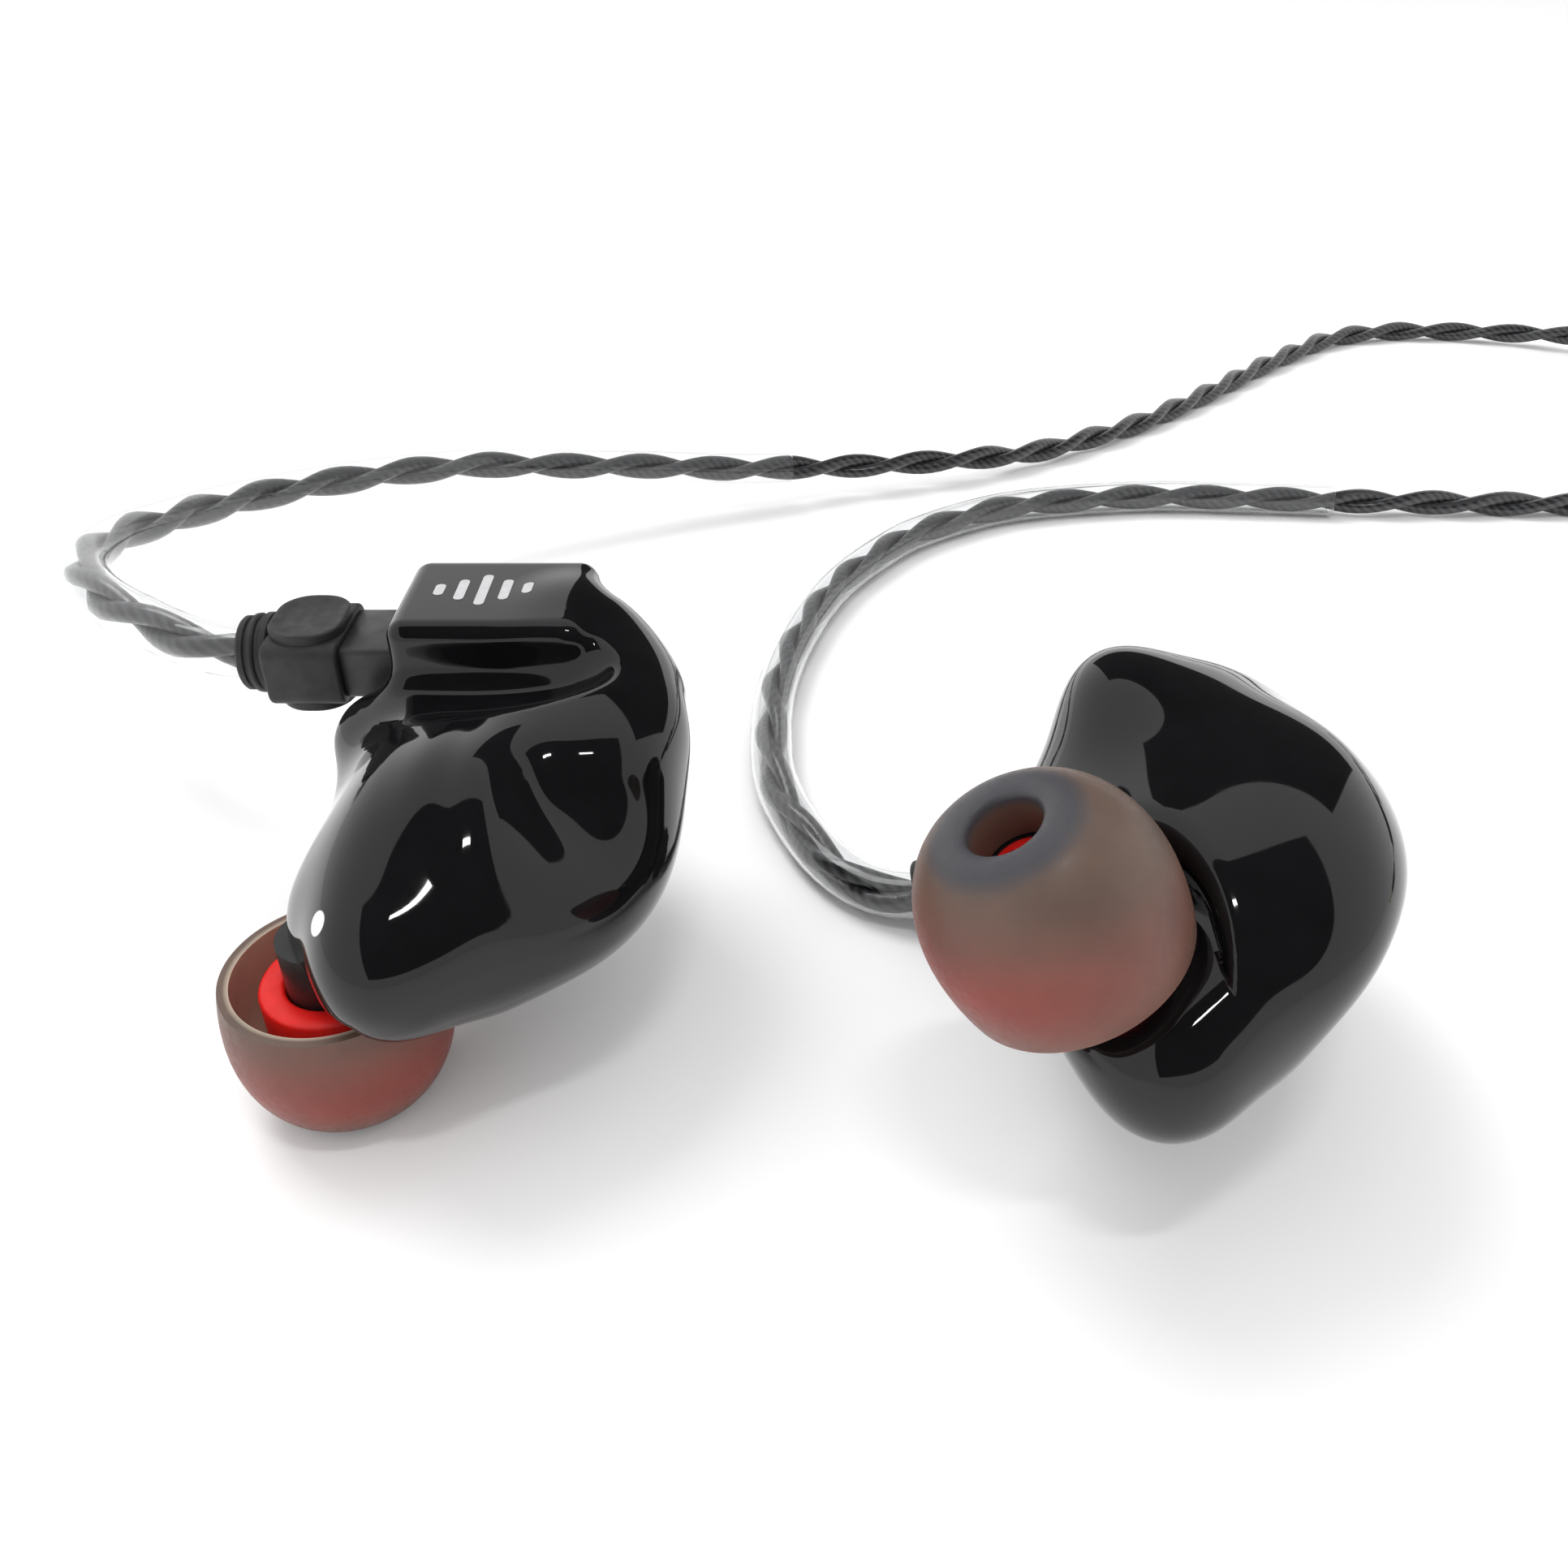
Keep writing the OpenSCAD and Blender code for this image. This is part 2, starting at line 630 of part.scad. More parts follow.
left_path = concat(left_start, left_route, [for (x = bundle_x) bundle(1, x)]);
right_path = concat(right_start, right_route, [for (x = bundle_x) bundle(-1, x)]);
function first(path, n) = [for (i = [0:n-1]) path[i]];

module ear_hook(path, rings) color(clear)
    hose_along(first(path, rings), hook_d/2, cable_d/2 + hook_gap, 12);

module lead(path) color(matte_black) rod_along(path, cable_d/2, 8);

// ---------- splitter, slider and main cable ----------
module y_splitter() color(matte_black)
    translate([splitter_x, bundle_y, splitter_d/2]) rotate([0, 90, 0]) difference() {
        union() {
            cylinder(d = splitter_d, h = splitter_l - splitter_taper);
            translate([0, 0, splitter_l - splitter_taper])
                cylinder(d1 = splitter_d, d2 = cable_d + 1.6, h = splitter_taper);
        }
        for (s = [-1, 1])
            translate([0, s * lead_pitch/2, -1])
                cylinder(d = cable_d + 2*glue_gap, h = entry_l + 1);
        translate([0, 0, splitter_l - entry_l])
            cylinder(d = cable_d + 2*glue_gap, h = entry_l + 1);
    }

module cable_slider() color(matte_black)
    translate([slider_x, bundle_y, splitter_d/2]) rotate([0, 90, 0]) difference() {
        rounded_box([splitter_d - 2*slider_lift, slider_w, slider_l], slider_round);
        for (s = [-1, 1])
            translate([0, s * lead_pitch/2, -1])
                cylinder(d = cable_d + 2*slider_fit, h = slider_l + 2);
    }

module main_cable() color(matte_black) {
    rod_along(concat([[splitter_x + splitter_l - entry_l + seat_gap, bundle_y, splitter_d/2]],
                     split_route, [coil_at + [coil_edge, 1, cable_d/2]]), cable_d/2, 8);
    rod_along(concat([coil_at + [coil_edge, -1, cable_d/2]], jack_route,
                     [jack_at + [0, 6, 0], jack_at + [0, -entry_l + seat_gap, 0]]), cable_d/2, 8);
}

coil_w = coil_cols * cable_d;
coil_h = coil_rows * cable_d;

// Outer shape of the wound cable
module main_coil() color(matte_black)
    translate(coil_at) rotate_extrude($fn = 96)
        translate([coil_d/2, 0]) polygon(coil_outline());

function coil_outline() =
    let (w = coil_w/2, h = coil_h, c = cable_d/3)
    [[c - w, 0], [w - c, 0], [w, c], [w, h - c], [w - c, h], [c - w, h], [-w, h - c], [-w, c]];

module cable_tie() color(smoke)
    translate(coil_at + [0, coil_d/2, coil_h/2]) rotate([0, 90, 0])
        translate([0, 0, -tie_w/2]) difference() {
            rounded_box([coil_h, coil_w + 2*tie_wall, tie_w], 1.2);
            translate([0, 0, -1])
                rounded_box([coil_h - 2*tie_wall, coil_w, tie_w + 2], 0.8);
        }

// ---------- jack plug ----------
module jack_strain_relief() color(matte_black) at_jack() difference() {
    cylinder(d1 = cable_d + 1.2, d2 = housing_d - 2, h = relief_l);
    translate([0, 0, -1]) cylinder(d = cable_d + 2*glue_gap, h = entry_l + 1);
}

module jack_housing() color(matte_black) at_jack() translate([0, 0, relief_l])
    rotate_extrude($fn = 72) polygon(concat(
        [[0, 0], [housing_d/2 - 0.7, 0], [housing_d/2, 0.7]],
        [for (i = [0:grip_rings-1]) each [
            [housing_d/2, grip_z + i*grip_step],
            [housing_d/2 - grip_depth, grip_z + (i + 0.25)*grip_step],
            [housing_d/2 - grip_depth, grip_z + (i + 0.5)*grip_step],
            [housing_d/2, grip_z + (i + 0.75)*grip_step]]],
        [[housing_d/2, housing_l - 1.2], [jack_d/2 + 0.9, housing_l], [0, housing_l]]));

module jack_part(from, to, d) at_jack() translate([0, 0, relief_l + housing_l + from])
    cylinder(d = d, h = to - from);

module jack_sleeve() color(gold) jack_part(0, sleeve_end, jack_d);
module jack_ring() color(gold) jack_part(sleeve_end + band_l, ring_end, jack_d);
module jack_insulators() color(matte_black) {
    jack_part(sleeve_end, sleeve_end + band_l, jack_d);
    jack_part(ring_end, ring_end + band_l, jack_d);
}
module jack_tip() color(gold) at_jack()
    translate([0, 0, relief_l + housing_l + ring_end + band_l]) rotate_extrude($fn = 48)
        polygon([[0, 0], [jack_d/2, 0], [jack_d/2, tip_band_l], [jack_d/2 - 0.5, tip_band_l + 0.6],
                 [jack_d/2 - 0.25, tip_band_l + 1.2], [jack_d/2 - 0.25, tip_band_l + 1.6],
                 [jack_d/2 - 1.15, tip_cone_l - 0.3],
                 [jack_d/2 - 1.45, tip_cone_l], [0, tip_cone_l]]);

shell(false);  // left_shell
faceplate(false);  // left_faceplate
nozzle(false);  // left_nozzle
wax_filter(false);  // left_wax_filter
low_driver(false);  // left_low_driver
high_driver(false);  // left_high_driver
crossover(false);  // left_crossover
sound_tubes(false);  // left_sound_tubes
dampers(false);  // left_dampers
socket(false);  // left_socket
contacts(false);  // left_contacts
tip_dome(false);  // left_tip_dome
tip_core(false);  // left_tip_core
plug_body(false);  // left_plug_body
plug_head(false);  // left_plug_head
plug_pins(false);  // left_plug_pins
hook_collar(false);  // left_hook_collar
ear_hook(left_path, left_hook_rings);  // left_ear_hook
lead(left_path);  // left_lead
shell(true);  // right_shell
faceplate(true);  // right_faceplate
nozzle(true);  // right_nozzle
wax_filter(true);  // right_wax_filter
low_driver(true);  // right_low_driver
high_driver(true);  // right_high_driver
crossover(true);  // right_crossover
sound_tubes(true);  // right_sound_tubes
dampers(true);  // right_dampers
socket(true);  // right_socket
contacts(true);  // right_contacts
tip_dome(true);  // right_tip_dome
tip_core(true);  // right_tip_core
plug_body(true);  // right_plug_body
plug_head(true);  // right_plug_head
plug_pins(true);  // right_plug_pins
hook_collar(true);  // right_hook_collar
ear_hook(right_path, right_hook_rings);  // right_ear_hook
lead(right_path);  // right_lead
y_splitter();
cable_slider();
main_cable();
main_coil();
cable_tie();
jack_housing();
jack_strain_relief();
jack_sleeve();
jack_ring();
jack_tip();
jack_insulators();
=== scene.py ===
"""Looks of a pair of in ear monitors on a detachable two-pin cable.

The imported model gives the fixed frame. Every class below builds and dresses
one sub-assembly: the two monitors with their ear tips and plugs, the clear ear
hooks, the twisted cable, and the splitter, slider, coil tie and jack plug.
Sizes are in millimetres; pieces are placed in metres.
"""
from __future__ import annotations

import logging
import math
from dataclasses import dataclass, field
from enum import Enum
from functools import cached_property
from typing import Callable, Sequence

import bpy
import numpy as np
from mathutils import Matrix, Vector

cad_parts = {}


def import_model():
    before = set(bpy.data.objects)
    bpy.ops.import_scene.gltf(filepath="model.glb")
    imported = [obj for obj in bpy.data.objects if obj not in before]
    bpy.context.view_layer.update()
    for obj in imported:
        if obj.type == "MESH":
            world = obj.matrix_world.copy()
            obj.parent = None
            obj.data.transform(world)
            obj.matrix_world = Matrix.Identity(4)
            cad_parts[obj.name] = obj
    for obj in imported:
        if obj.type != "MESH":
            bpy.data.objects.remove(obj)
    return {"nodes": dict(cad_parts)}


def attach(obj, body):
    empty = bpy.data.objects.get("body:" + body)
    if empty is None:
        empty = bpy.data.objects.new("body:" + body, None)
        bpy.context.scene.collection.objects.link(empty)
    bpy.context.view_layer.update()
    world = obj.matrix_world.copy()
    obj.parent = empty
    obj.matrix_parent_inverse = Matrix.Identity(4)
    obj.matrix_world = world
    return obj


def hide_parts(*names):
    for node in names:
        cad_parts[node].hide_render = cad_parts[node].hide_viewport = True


log = logging.getLogger("in_ear_monitors")
MM = 0.001
TO_METRES = Matrix.Scale(MM, 4)
LAY_AROUND = 2      # UV units around a strand
LAY_LENGTH = 2      # millimetres of strand to a UV unit
ROUTE_STEPS = 12    # points of the curve for each stretch of its route
Pair = tuple[float, float]
Point = tuple[float, float, float]
Profile = list[Pair]
Array = np.ndarray
Obj = bpy.types.Object
Socket = bpy.types.NodeSocket
Nodes = dict[str, Obj]


# ---------------------------------------------------------------- modelling aids
def deselect() -> None:
    """Leaves edit mode and selects nothing."""
    if bpy.context.object and bpy.context.object.mode != "OBJECT":
        bpy.ops.object.mode_set(mode="OBJECT")
    bpy.ops.object.select_all(action="DESELECT")


def pick(obj: Obj) -> None:
    """Makes obj the only selected and the active object.

    Args:
        obj: The piece to work on.
    """
    deselect()
    obj.select_set(True)
    bpy.context.view_layer.objects.active = obj


def named(name: str) -> Obj:
    """Names the primitive that was just added, and its mesh.

    Args:
        name: The piece's name.

    Returns:
        The primitive.
    """
    obj = bpy.context.object
    obj.name = obj.data.name = name
    return obj


def placed(name: str) -> Obj:
    """Names the new primitive and puts its place into its mesh.

    Args:
        name: The piece's name.

    Returns:
        The primitive, its object at the origin.
    """
    obj = named(name)
    bpy.ops.object.transform_apply(location=True, rotation=True, scale=True)
    return obj


def lathe(name: str, profile: Profile, sides: int = 64, ring: bool = False) -> Obj:
    """Turned piece about Z, from a circle extruded and resized ring by ring.

    Args:
        name: The piece's name.
        profile: (radius, height) of each ring, in order along the surface.
        sides: Faces around the axis.
        ring: True if the profile closes on itself, as for a hollow piece.

    Returns:
        The piece, in millimetres, with outward normals.
    """
    deselect()
    radius, height = profile[0]
    bpy.ops.mesh.primitive_circle_add(vertices=sides, radius=radius, location=(0, 0, height),
                                      fill_type="NOTHING" if ring else "NGON")
    obj = placed(name)
    bpy.ops.object.mode_set(mode="EDIT")
    bpy.ops.mesh.select_mode(type="VERT")
    bpy.ops.mesh.select_all(action="SELECT")
    for new_radius, new_height in profile[1:]:
        bpy.ops.mesh.extrude_region_move(
            TRANSFORM_OT_translate={"value": (0, 0, new_height - height)})
        scale = new_radius / radius
        bpy.ops.transform.resize(value=(scale, scale, 1), center_override=(0, 0, new_height))
        radius, height = new_radius, new_height
    bpy.ops.mesh.select_all(action="SELECT")
    bpy.ops.mesh.remove_doubles(threshold=1e-4)
    bpy.ops.mesh.normals_make_consistent(inside=False)
    bpy.ops.object.mode_set(mode="OBJECT")
    return obj


def block_piece(name: str, low: Point, high: Point) -> Obj:
    """Cube primitive that fills a box, in millimetres.

    Args:
        name: The piece's name.
        low: Lowest corner of the box.
        high: Highest corner of the box.

    Returns:
        The block.
    """
    deselect()
    bpy.ops.mesh.primitive_cube_add(
        size=1, location=[(a + b) / 2 for a, b in zip(low, high)],
        scale=[b - a for a, b in zip(low, high)])
    return placed(name)


def edit_where(obj: Obj, kind: str, wanted: Callable[[object], bool]) -> None:
    """Enters edit mode with the edges or faces selected that pass a test.

    Args:
        obj: The piece.
        kind: EDGE or FACE.
        wanted: The test of one edge or face.
    """
    pick(obj)
    bpy.ops.object.mode_set(mode="EDIT")
    bpy.ops.mesh.select_mode(type=kind)
    bpy.ops.mesh.select_all(action="DESELECT")
    bpy.ops.object.mode_set(mode="OBJECT")
    for part in obj.data.edges if kind == "EDGE" else obj.data.polygons:
        part.select = wanted(part)
    bpy.ops.object.mode_set(mode="EDIT")


def round_edges_along(obj: Obj, axis: int, radius: float, segments: int = 6) -> None:
    """Bevels the edges that run along one axis.

    Args:
        obj: The piece.
        axis: 0, 1 or 2 for X, Y or Z.
        radius: Width of the bevel.
        segments: Facets across it.
    """
    def along(edge: bpy.types.MeshEdge) -> bool:
        """True for an edge that runs along the axis."""
        a, b = (obj.data.vertices[i].co for i in edge.vertices)
        return abs((b - a)[axis]) > 0.999 * (b - a).length

    edit_where(obj, "EDGE", along)
    bpy.ops.mesh.bevel(offset=radius, segments=segments, affect="EDGES", profile=0.5)
    bpy.ops.object.mode_set(mode="OBJECT")


def modify(obj: Obj, kind: str, **settings: object) -> None:
    """Adds a modifier, sets it and applies it.

    Args:
        obj: The piece.
        kind: The modifier's type.
        settings: Its properties.
    """
    pick(obj)
    modifier = obj.modifiers.new(kind.title(), kind)
    for key, value in settings.items():
        setattr(modifier, key, value)
    bpy.ops.object.modifier_apply(modifier=modifier.name)


def soften(obj: Obj, width: float, segments: int = 3, angle: float = 40) -> None:
    """Rounds every edge sharper than the angle, in degrees."""
    modify(obj, "BEVEL", width=width, segments=segments, limit_method="ANGLE",
           angle_limit=math.radians(angle), harden_normals=False)


def smooth(obj: Obj, angle: float = 35) -> None:
    """Shades smooth, with edges sharper than the angle kept."""
    pick(obj)
    bpy.ops.object.shade_smooth_by_angle(angle=math.radians(angle))


def cut(obj: Obj, cutter: Obj) -> None:
    """Takes the cutter's shape out of obj and deletes the cutter."""
    modify(obj, "BOOLEAN", operation="DIFFERENCE", solver="EXACT", object=cutter)
    bpy.data.objects.remove(cutter, do_unlink=True)


def bore_along_x(obj: Obj, middle: Point, radius: float, length: float,
                 sides: int = 40) -> None:
    """Takes a round bore along X out of obj.

    Args:
        obj: The piece.
        middle: Middle of the bore's length.
        radius: The bore's radius.
        length: The bore's length.
        sides: Facets around.
    """
    deselect()
    bpy.ops.mesh.primitive_cylinder_add(vertices=sides, radius=radius, depth=length,
                                        location=middle, rotation=(0, math.pi / 2, 0))
    cut(obj, placed("bore"))


def join(pieces: Sequence[Obj], name: str) -> Obj:
    """Joins several shapes into one piece.

    Args:
        pieces: The shapes; the first takes the others in.
        name: The piece's name.

    Returns:
        The joined piece.
    """
    pick(pieces[0])
    for piece in pieces:
        piece.select_set(True)
    bpy.ops.object.join()
    return named(name)


def mesh_object(name: str, points: Array, faces: Sequence[Sequence[int]]) -> Obj:
    """Object from computed points and faces.

    Args:
        name: The piece's name.
        points: One point per row.
        faces: Numbers of each face's points.

    Returns:
        The object.
    """
    mesh = bpy.data.meshes.new(name)
    mesh.from_pydata(points.tolist(), [], [list(f) for f in faces])
    mesh.update()
    obj = bpy.data.objects.new(name, mesh)
    bpy.context.scene.collection.objects.link(obj)
    return obj


def settle(obj: Obj, matrix: Matrix) -> None:
    """Puts a piece's place into its mesh, with its object at the origin.

    Args:
        obj: The piece.
        matrix: Where it goes.
    """
    obj.data.transform(matrix @ obj.matrix_world)
    obj.matrix_world = Matrix.Identity(4)
    if matrix.determinant() < 0:
        obj.data.flip_normals()
    obj.data.update()


# ---------------------------------------------------------------- finishes
class Board:
    """Lays out the nodes of one material, or of the world."""

    def __init__(self, owner: bpy.types.ID, shader: str = "Principled BSDF") -> None:
        """Starts on the owner's own shader.

        Args:
            owner: The material or the world.
            shader: Name of its shader node.
        """
        owner.use_nodes = True
        self.nodes, self.links = owner.node_tree.nodes, owner.node_tree.links
        self.shader = self.nodes[shader]

    @cached_property
    def place(self) -> Socket:
        """Object coordinates."""
        return self.add("ShaderNodeTexCoord").outputs["Object"]

    def feed(self, end: Socket, value: object) -> None:
        """Gives an input a plain value, or joins it to another node's output.

        Args:
            end: The input.
            value: A value, or another node's output.
        """
        if isinstance(value, bpy.types.NodeSocket):
            self.links.new(value, end)
        else:
            end.default_value = value

    def add(self, kind: str, inputs: dict | None = None, **settings: object) -> bpy.types.Node:
        """Adds a node, sets its properties and feeds its inputs.

        Args:
            kind: The node's type.
            inputs: Values or outputs for its inputs.
            settings: Its properties.

        Returns:
            The node.
        """
        node = self.nodes.new(kind)
        for key, value in settings.items():
            setattr(node, key, value)
        for key, value in (inputs or {}).items():
            self.feed(node.inputs[key], value)
        return node

    def set(self, **values: object) -> None:
        """Feeds the shader's own sockets; an underscore stands for a space."""
        for key, value in values.items():
            self.feed(self.shader.inputs[key.replace("_", " ")], value)

    def noise(self, scale: float, detail: float = 3, roughness: float = 0.5) -> Socket:
        """Noise on Object coordinates; scale is in cycles per metre.

        Args:
            scale: Cycles per metre.
            detail: Octaves.
            roughness: Weight of the finer octaves.

        Returns:
            Values about 0.3 to 0.7.
        """
        return self.add("ShaderNodeTexNoise", {
            "Vector": self.place, "Scale": scale, "Detail": detail,
            "Roughness": roughness}).outputs["Fac"]

    def spread(self, source: Socket, low: float, high: float, start: float = 0.3,
               end: float = 0.7) -> Socket:
        """Maps source from start..end to low..high.

        Args:
            source: The output to map.
            low: Value at the start.
            high: Value at the end.
            start: Where the range starts.
            end: Where the range ends.

        Returns:
            The mapped output.
        """
        return self.add("ShaderNodeMapRange", {
            "Value": source, "From Min": start, "From Max": end, "To Min": low,
            "To Max": high}).outputs["Result"]

    def mix(self, factor: object, first: object, second: object,
            blend: str = "MIX") -> Socket:
        """Mixes two colours or sockets by a factor."""
        return self.add("ShaderNodeMix", {"Factor": factor, "A": first, "B": second},
                        data_type="RGBA", blend_type=blend).outputs["Result"]

    def tint(self, source: Socket, first: Point, second: Point) -> Socket:
        """Colour between two, by source."""
        return self.mix(source, (*first, 1), (*second, 1))

    def bump(self, source: Socket, strength: float, depth: float) -> None:
        """Bumps the surface by source, depth in metres."""
        self.set(Normal=self.add("ShaderNodeBump", {
            "Height": source, "Strength": strength, "Distance": depth}).outputs["Normal"])


@dataclass(frozen=True)
class Finish:
    """A material made once and shared by its pieces."""

    name: str

    def lay(self, board: Board) -> None:
        """Lays out the finish's own nodes."""

    def paint(self, obj: Obj) -> None:
        """Gives obj this finish alone.

        Args:
            obj: The piece.
        """
        material = bpy.data.materials.get(self.name)
        if material is None:
            material = bpy.data.materials.new(self.name)
            self.lay(Board(material))
        obj.data.materials.clear()
        obj.data.materials.append(material)


@dataclass(frozen=True)
class Plain(Finish):
    """Even paint of the stage pieces."""

    colour: Point
    rough: float = 0.5
    specular: float = 0.5

    def lay(self, board: Board) -> None:
        """One colour all over."""
        board.set(Base_Color=(*self.colour, 1), Roughness=self.rough,
                  Specular_IOR_Level=self.specular)


@dataclass(frozen=True)
class Lacquer(Finish):
    """Hand-polished black lacquer with a printed side mark."""

    mark: Point = (0, 0, 0)
    mark_radius: float = 0.55 * MM
    mark_edge: float = 1.12

    def lay(self, board: Board) -> None:
        """Deep gloss over near black, with faint waves, haze and a white dot.

        Args:
            board: The board of the material.
        """
        far = board.add("ShaderNodeVectorMath", {0: board.place, 1: self.mark},
                        operation="DISTANCE").outputs["Value"]
        dot = board.spread(far, 1, 0, self.mark_radius, self.mark_radius * self.mark_edge)
        body = board.tint(board.noise(420), (0.003, 0.003, 0.0034), (0.007, 0.007, 0.008))
        board.set(IOR=1.43, Coat_Weight=0.08, Coat_Roughness=0.02,
                  Base_Color=board.mix(dot, body, (0.82, 0.82, 0.82, 1)),
                  Roughness=board.spread(board.noise(900, 6, 0.6), 0.025, 0.075))
        board.bump(board.noise(160, 1), 0.25, 0.0001)


@dataclass(frozen=True)
class Moulded(Finish):
    """Matt moulded plastic or soft overmould with a fine grain."""

    dark: Point = (0.014, 0.014, 0.015)
    light: Point = (0.026, 0.026, 0.028)
    rough: float = 0.5
    grain: float = 9000

    def lay(self, board: Board) -> None:
        """Fine grain in colour, roughness and relief.

        Args:
            board: The board of the material.
        """
        board.set(Base_Color=board.tint(board.noise(self.grain / 6, 5), self.dark, self.light),
                  Roughness=board.spread(board.noise(self.grain / 10, 4), self.rough - 0.08,
                                         self.rough + 0.1))
        board.bump(board.noise(self.grain, 2), 0.35, 0.00002)


@dataclass(frozen=True)
class Silicone(Finish):
    """Smoky translucent silicone, denser and bluer around its stem."""

    def lay(self, board: Board) -> None:
        """Cloudy translucence in the dome's own tones, with the core's painted red glow, painted
        light on the inner wall and painted shade in the bore.

        Args:
            board: The board of the material.
        """
        # the attribute holds the dome's own tones with painted light and shade written into them
        tone = board.add("ShaderNodeAttribute", attribute_name="tone").outputs
        cloud = board.tint(board.noise(420, 4), (0.78, 0.82, 0.84), (1.26, 1.18, 1.10))
        board.set(IOR=1.41, Subsurface_Weight=0.2, Subsurface_Scale=0.0010,
                  Subsurface_Radius=(1.0, 0.6, 0.5),
                  Base_Color=board.mix(1, tone["Color"], cloud, "MULTIPLY"),
                  Transmission_Weight=board.spread(tone["Alpha"], 0, 1, 0, 1),
                  Roughness=board.spread(board.noise(2600, 5), 0.36, 0.5))
        board.bump(board.noise(5200, 3), 0.3, 0.00002)


@dataclass(frozen=True)
class Rubber(Finish):
    """Bright red core rubber."""

    def lay(self, board: Board) -> None:
        """Saturated red with a soft sheen and light mould texture.

        Args:
            board: The board of the material.
        """
        board.set(Subsurface_Weight=0.2, Subsurface_Scale=0.0006,
                  Subsurface_Radius=(1.0, 0.15, 0.1),
                  Base_Color=board.tint(board.noise(1200, 4), (0.62, 0.004, 0.003),
                                        (0.86, 0.012, 0.008)),
                  Roughness=board.spread(board.noise(1800, 4), 0.34, 0.5))
        board.bump(board.noise(6000, 2), 0.25, 0.00002)


@dataclass(frozen=True)
class ClearTube(Finish):
    """Clear heat-formed tube."""

    def lay(self, board: Board) -> None:
        """Clear, with slight waviness and rubbed haze.

        Args:
            board: The board of the material.
        """
        board.set(Base_Color=(0.97, 0.975, 0.98, 1), Transmission_Weight=1.0, IOR=1.42,
                  Roughness=board.spread(board.noise(800, 5, 0.6), 0.0, 0.035))
        board.bump(board.noise(300, 1), 0.25, 0.00005)


@dataclass(frozen=True)
class Jacket(Finish):
    """Smoke-tinted cable jacket with the conductor's lay under it."""

    def lay(self, board: Board) -> None:
        """Fine helical lay along each strand, under a satin skin.

        Args:
            board: The board of the material.
        """
        along = board.add("ShaderNodeUVMap", uv_map="lay").outputs["UV"]
        wires = board.add("ShaderNodeTexWave", {
            "Vector": along, "Scale": 1.4, "Distortion": 1.2, "Detail": 2},
            wave_type="BANDS", bands_direction="DIAGONAL").outputs["Fac"]
        board.set(IOR=1.48, Coat_Weight=0.3, Coat_Roughness=0.12,
                  Base_Color=board.tint(wires, (0.010, 0.010, 0.011), (0.052, 0.053, 0.056)),
                  Roughness=board.spread(board.noise(2200, 4), 0.26, 0.42))
        board.bump(wires, 0.2, 0.00003)


@dataclass(frozen=True)
class Metal(Finish):
    """Plated or brushed metal."""

    base: Point = (0.83, 0.62, 0.28)
    worn: Point = (0.72, 0.52, 0.22)
    rough: float = 0.2

    def lay(self, board: Board) -> None:
        """Metal with handling marks in its tone and roughness.

        Args:
            board: The board of the material.
        """
        board.set(Metallic=1.0,
                  Base_Color=board.tint(board.noise(900, 5), self.base, self.worn),
                  Roughness=board.spread(board.noise(1500, 6, 0.65), self.rough - 0.06,
                                         self.rough + 0.14))
        board.bump(board.noise(7000, 2), 0.15, 0.00001)


@dataclass(frozen=True)
class Ink(Finish):
    """Printed pale ink."""

    def lay(self, board: Board) -> None:
        """Pale grey, a little uneven where the print is thin.

        Args:
            board: The board of the material.
        """
        board.set(Base_Color=board.tint(board.noise(2600, 5, 0.7), (0.40, 0.40, 0.41),
                                        (0.62, 0.62, 0.63)),
                  Roughness=board.spread(board.noise(1500), 0.3, 0.45))


@dataclass(frozen=True)
class Weave(Finish):
    """Woven hook-and-loop strap."""

    threads: float = 900.0
    unevenness: float = 0.6

    def lay(self, board: Board) -> None:
        """Crossed threads in tone and relief.

        Args:
            board: The board of the material.
        """
        across, upright = (board.add("ShaderNodeTexWave", {
            "Vector": board.place, "Scale": self.threads, "Distortion": self.unevenness},
            bands_direction=way).outputs["Fac"] for way in "XZ")
        both = board.add("ShaderNodeMath", {0: across, 1: upright},
                         operation="MULTIPLY").outputs["Value"]
        board.set(Sheen_Weight=0.25, Sheen_Roughness=0.4,
                  Base_Color=board.tint(both, (0.016, 0.016, 0.018), (0.06, 0.06, 0.065)),
                  Roughness=board.spread(board.noise(3000), 0.75, 0.95))
        board.bump(both, 0.6, 0.00008)


@dataclass(frozen=True)
class Circuit(Finish):
    """Green solder mask with copper tracks."""

    def lay(self, board: Board) -> None:
        """Tracks as bands under the mask.

        Args:
            board: The board of the material.
        """
        tracks = board.add("ShaderNodeTexBrick", {
            "Vector": board.place, "Scale": 900.0, "Mortar Size": 0.03}).outputs["Fac"]
        board.set(Base_Color=board.tint(tracks, (0.01, 0.09, 0.035), (0.05, 0.22, 0.09)),
                  Roughness=board.spread(board.noise(2000), 0.25, 0.4))
        board.bump(tracks, 0.2, 0.00002)


PLUG_PLASTIC = Moulded("plug_moulding", rough=0.42)
SOFT_OVERMOULD = Moulded("soft_overmould", dark=(0.012, 0.012, 0.013), rough=0.55, grain=12000)
NOZZLE_PLASTIC = Moulded("nozzle_moulding", dark=(0.006, 0.006, 0.007),
                         light=(0.013, 0.013, 0.014), rough=0.35)
TIP_SILICONE = Silicone("smoky_silicone")
CORE_RUBBER = Rubber("core_rubber")
HOOK_TUBE = ClearTube("hook_tube")
CABLE_JACKET = Jacket("smoky_jacket")
GOLD = Metal("gold_plate")
BRASS = Metal("turned_brass", base=(0.7, 0.48, 0.2), worn=(0.55, 0.38, 0.16), rough=0.3)
STEEL = Metal("drawn_steel", base=(0.6, 0.6, 0.62), worn=(0.45, 0.45, 0.47), rough=0.28)
PRINT_INK = Ink("print_ink")
STRAP_WEAVE = Weave("strap_weave")
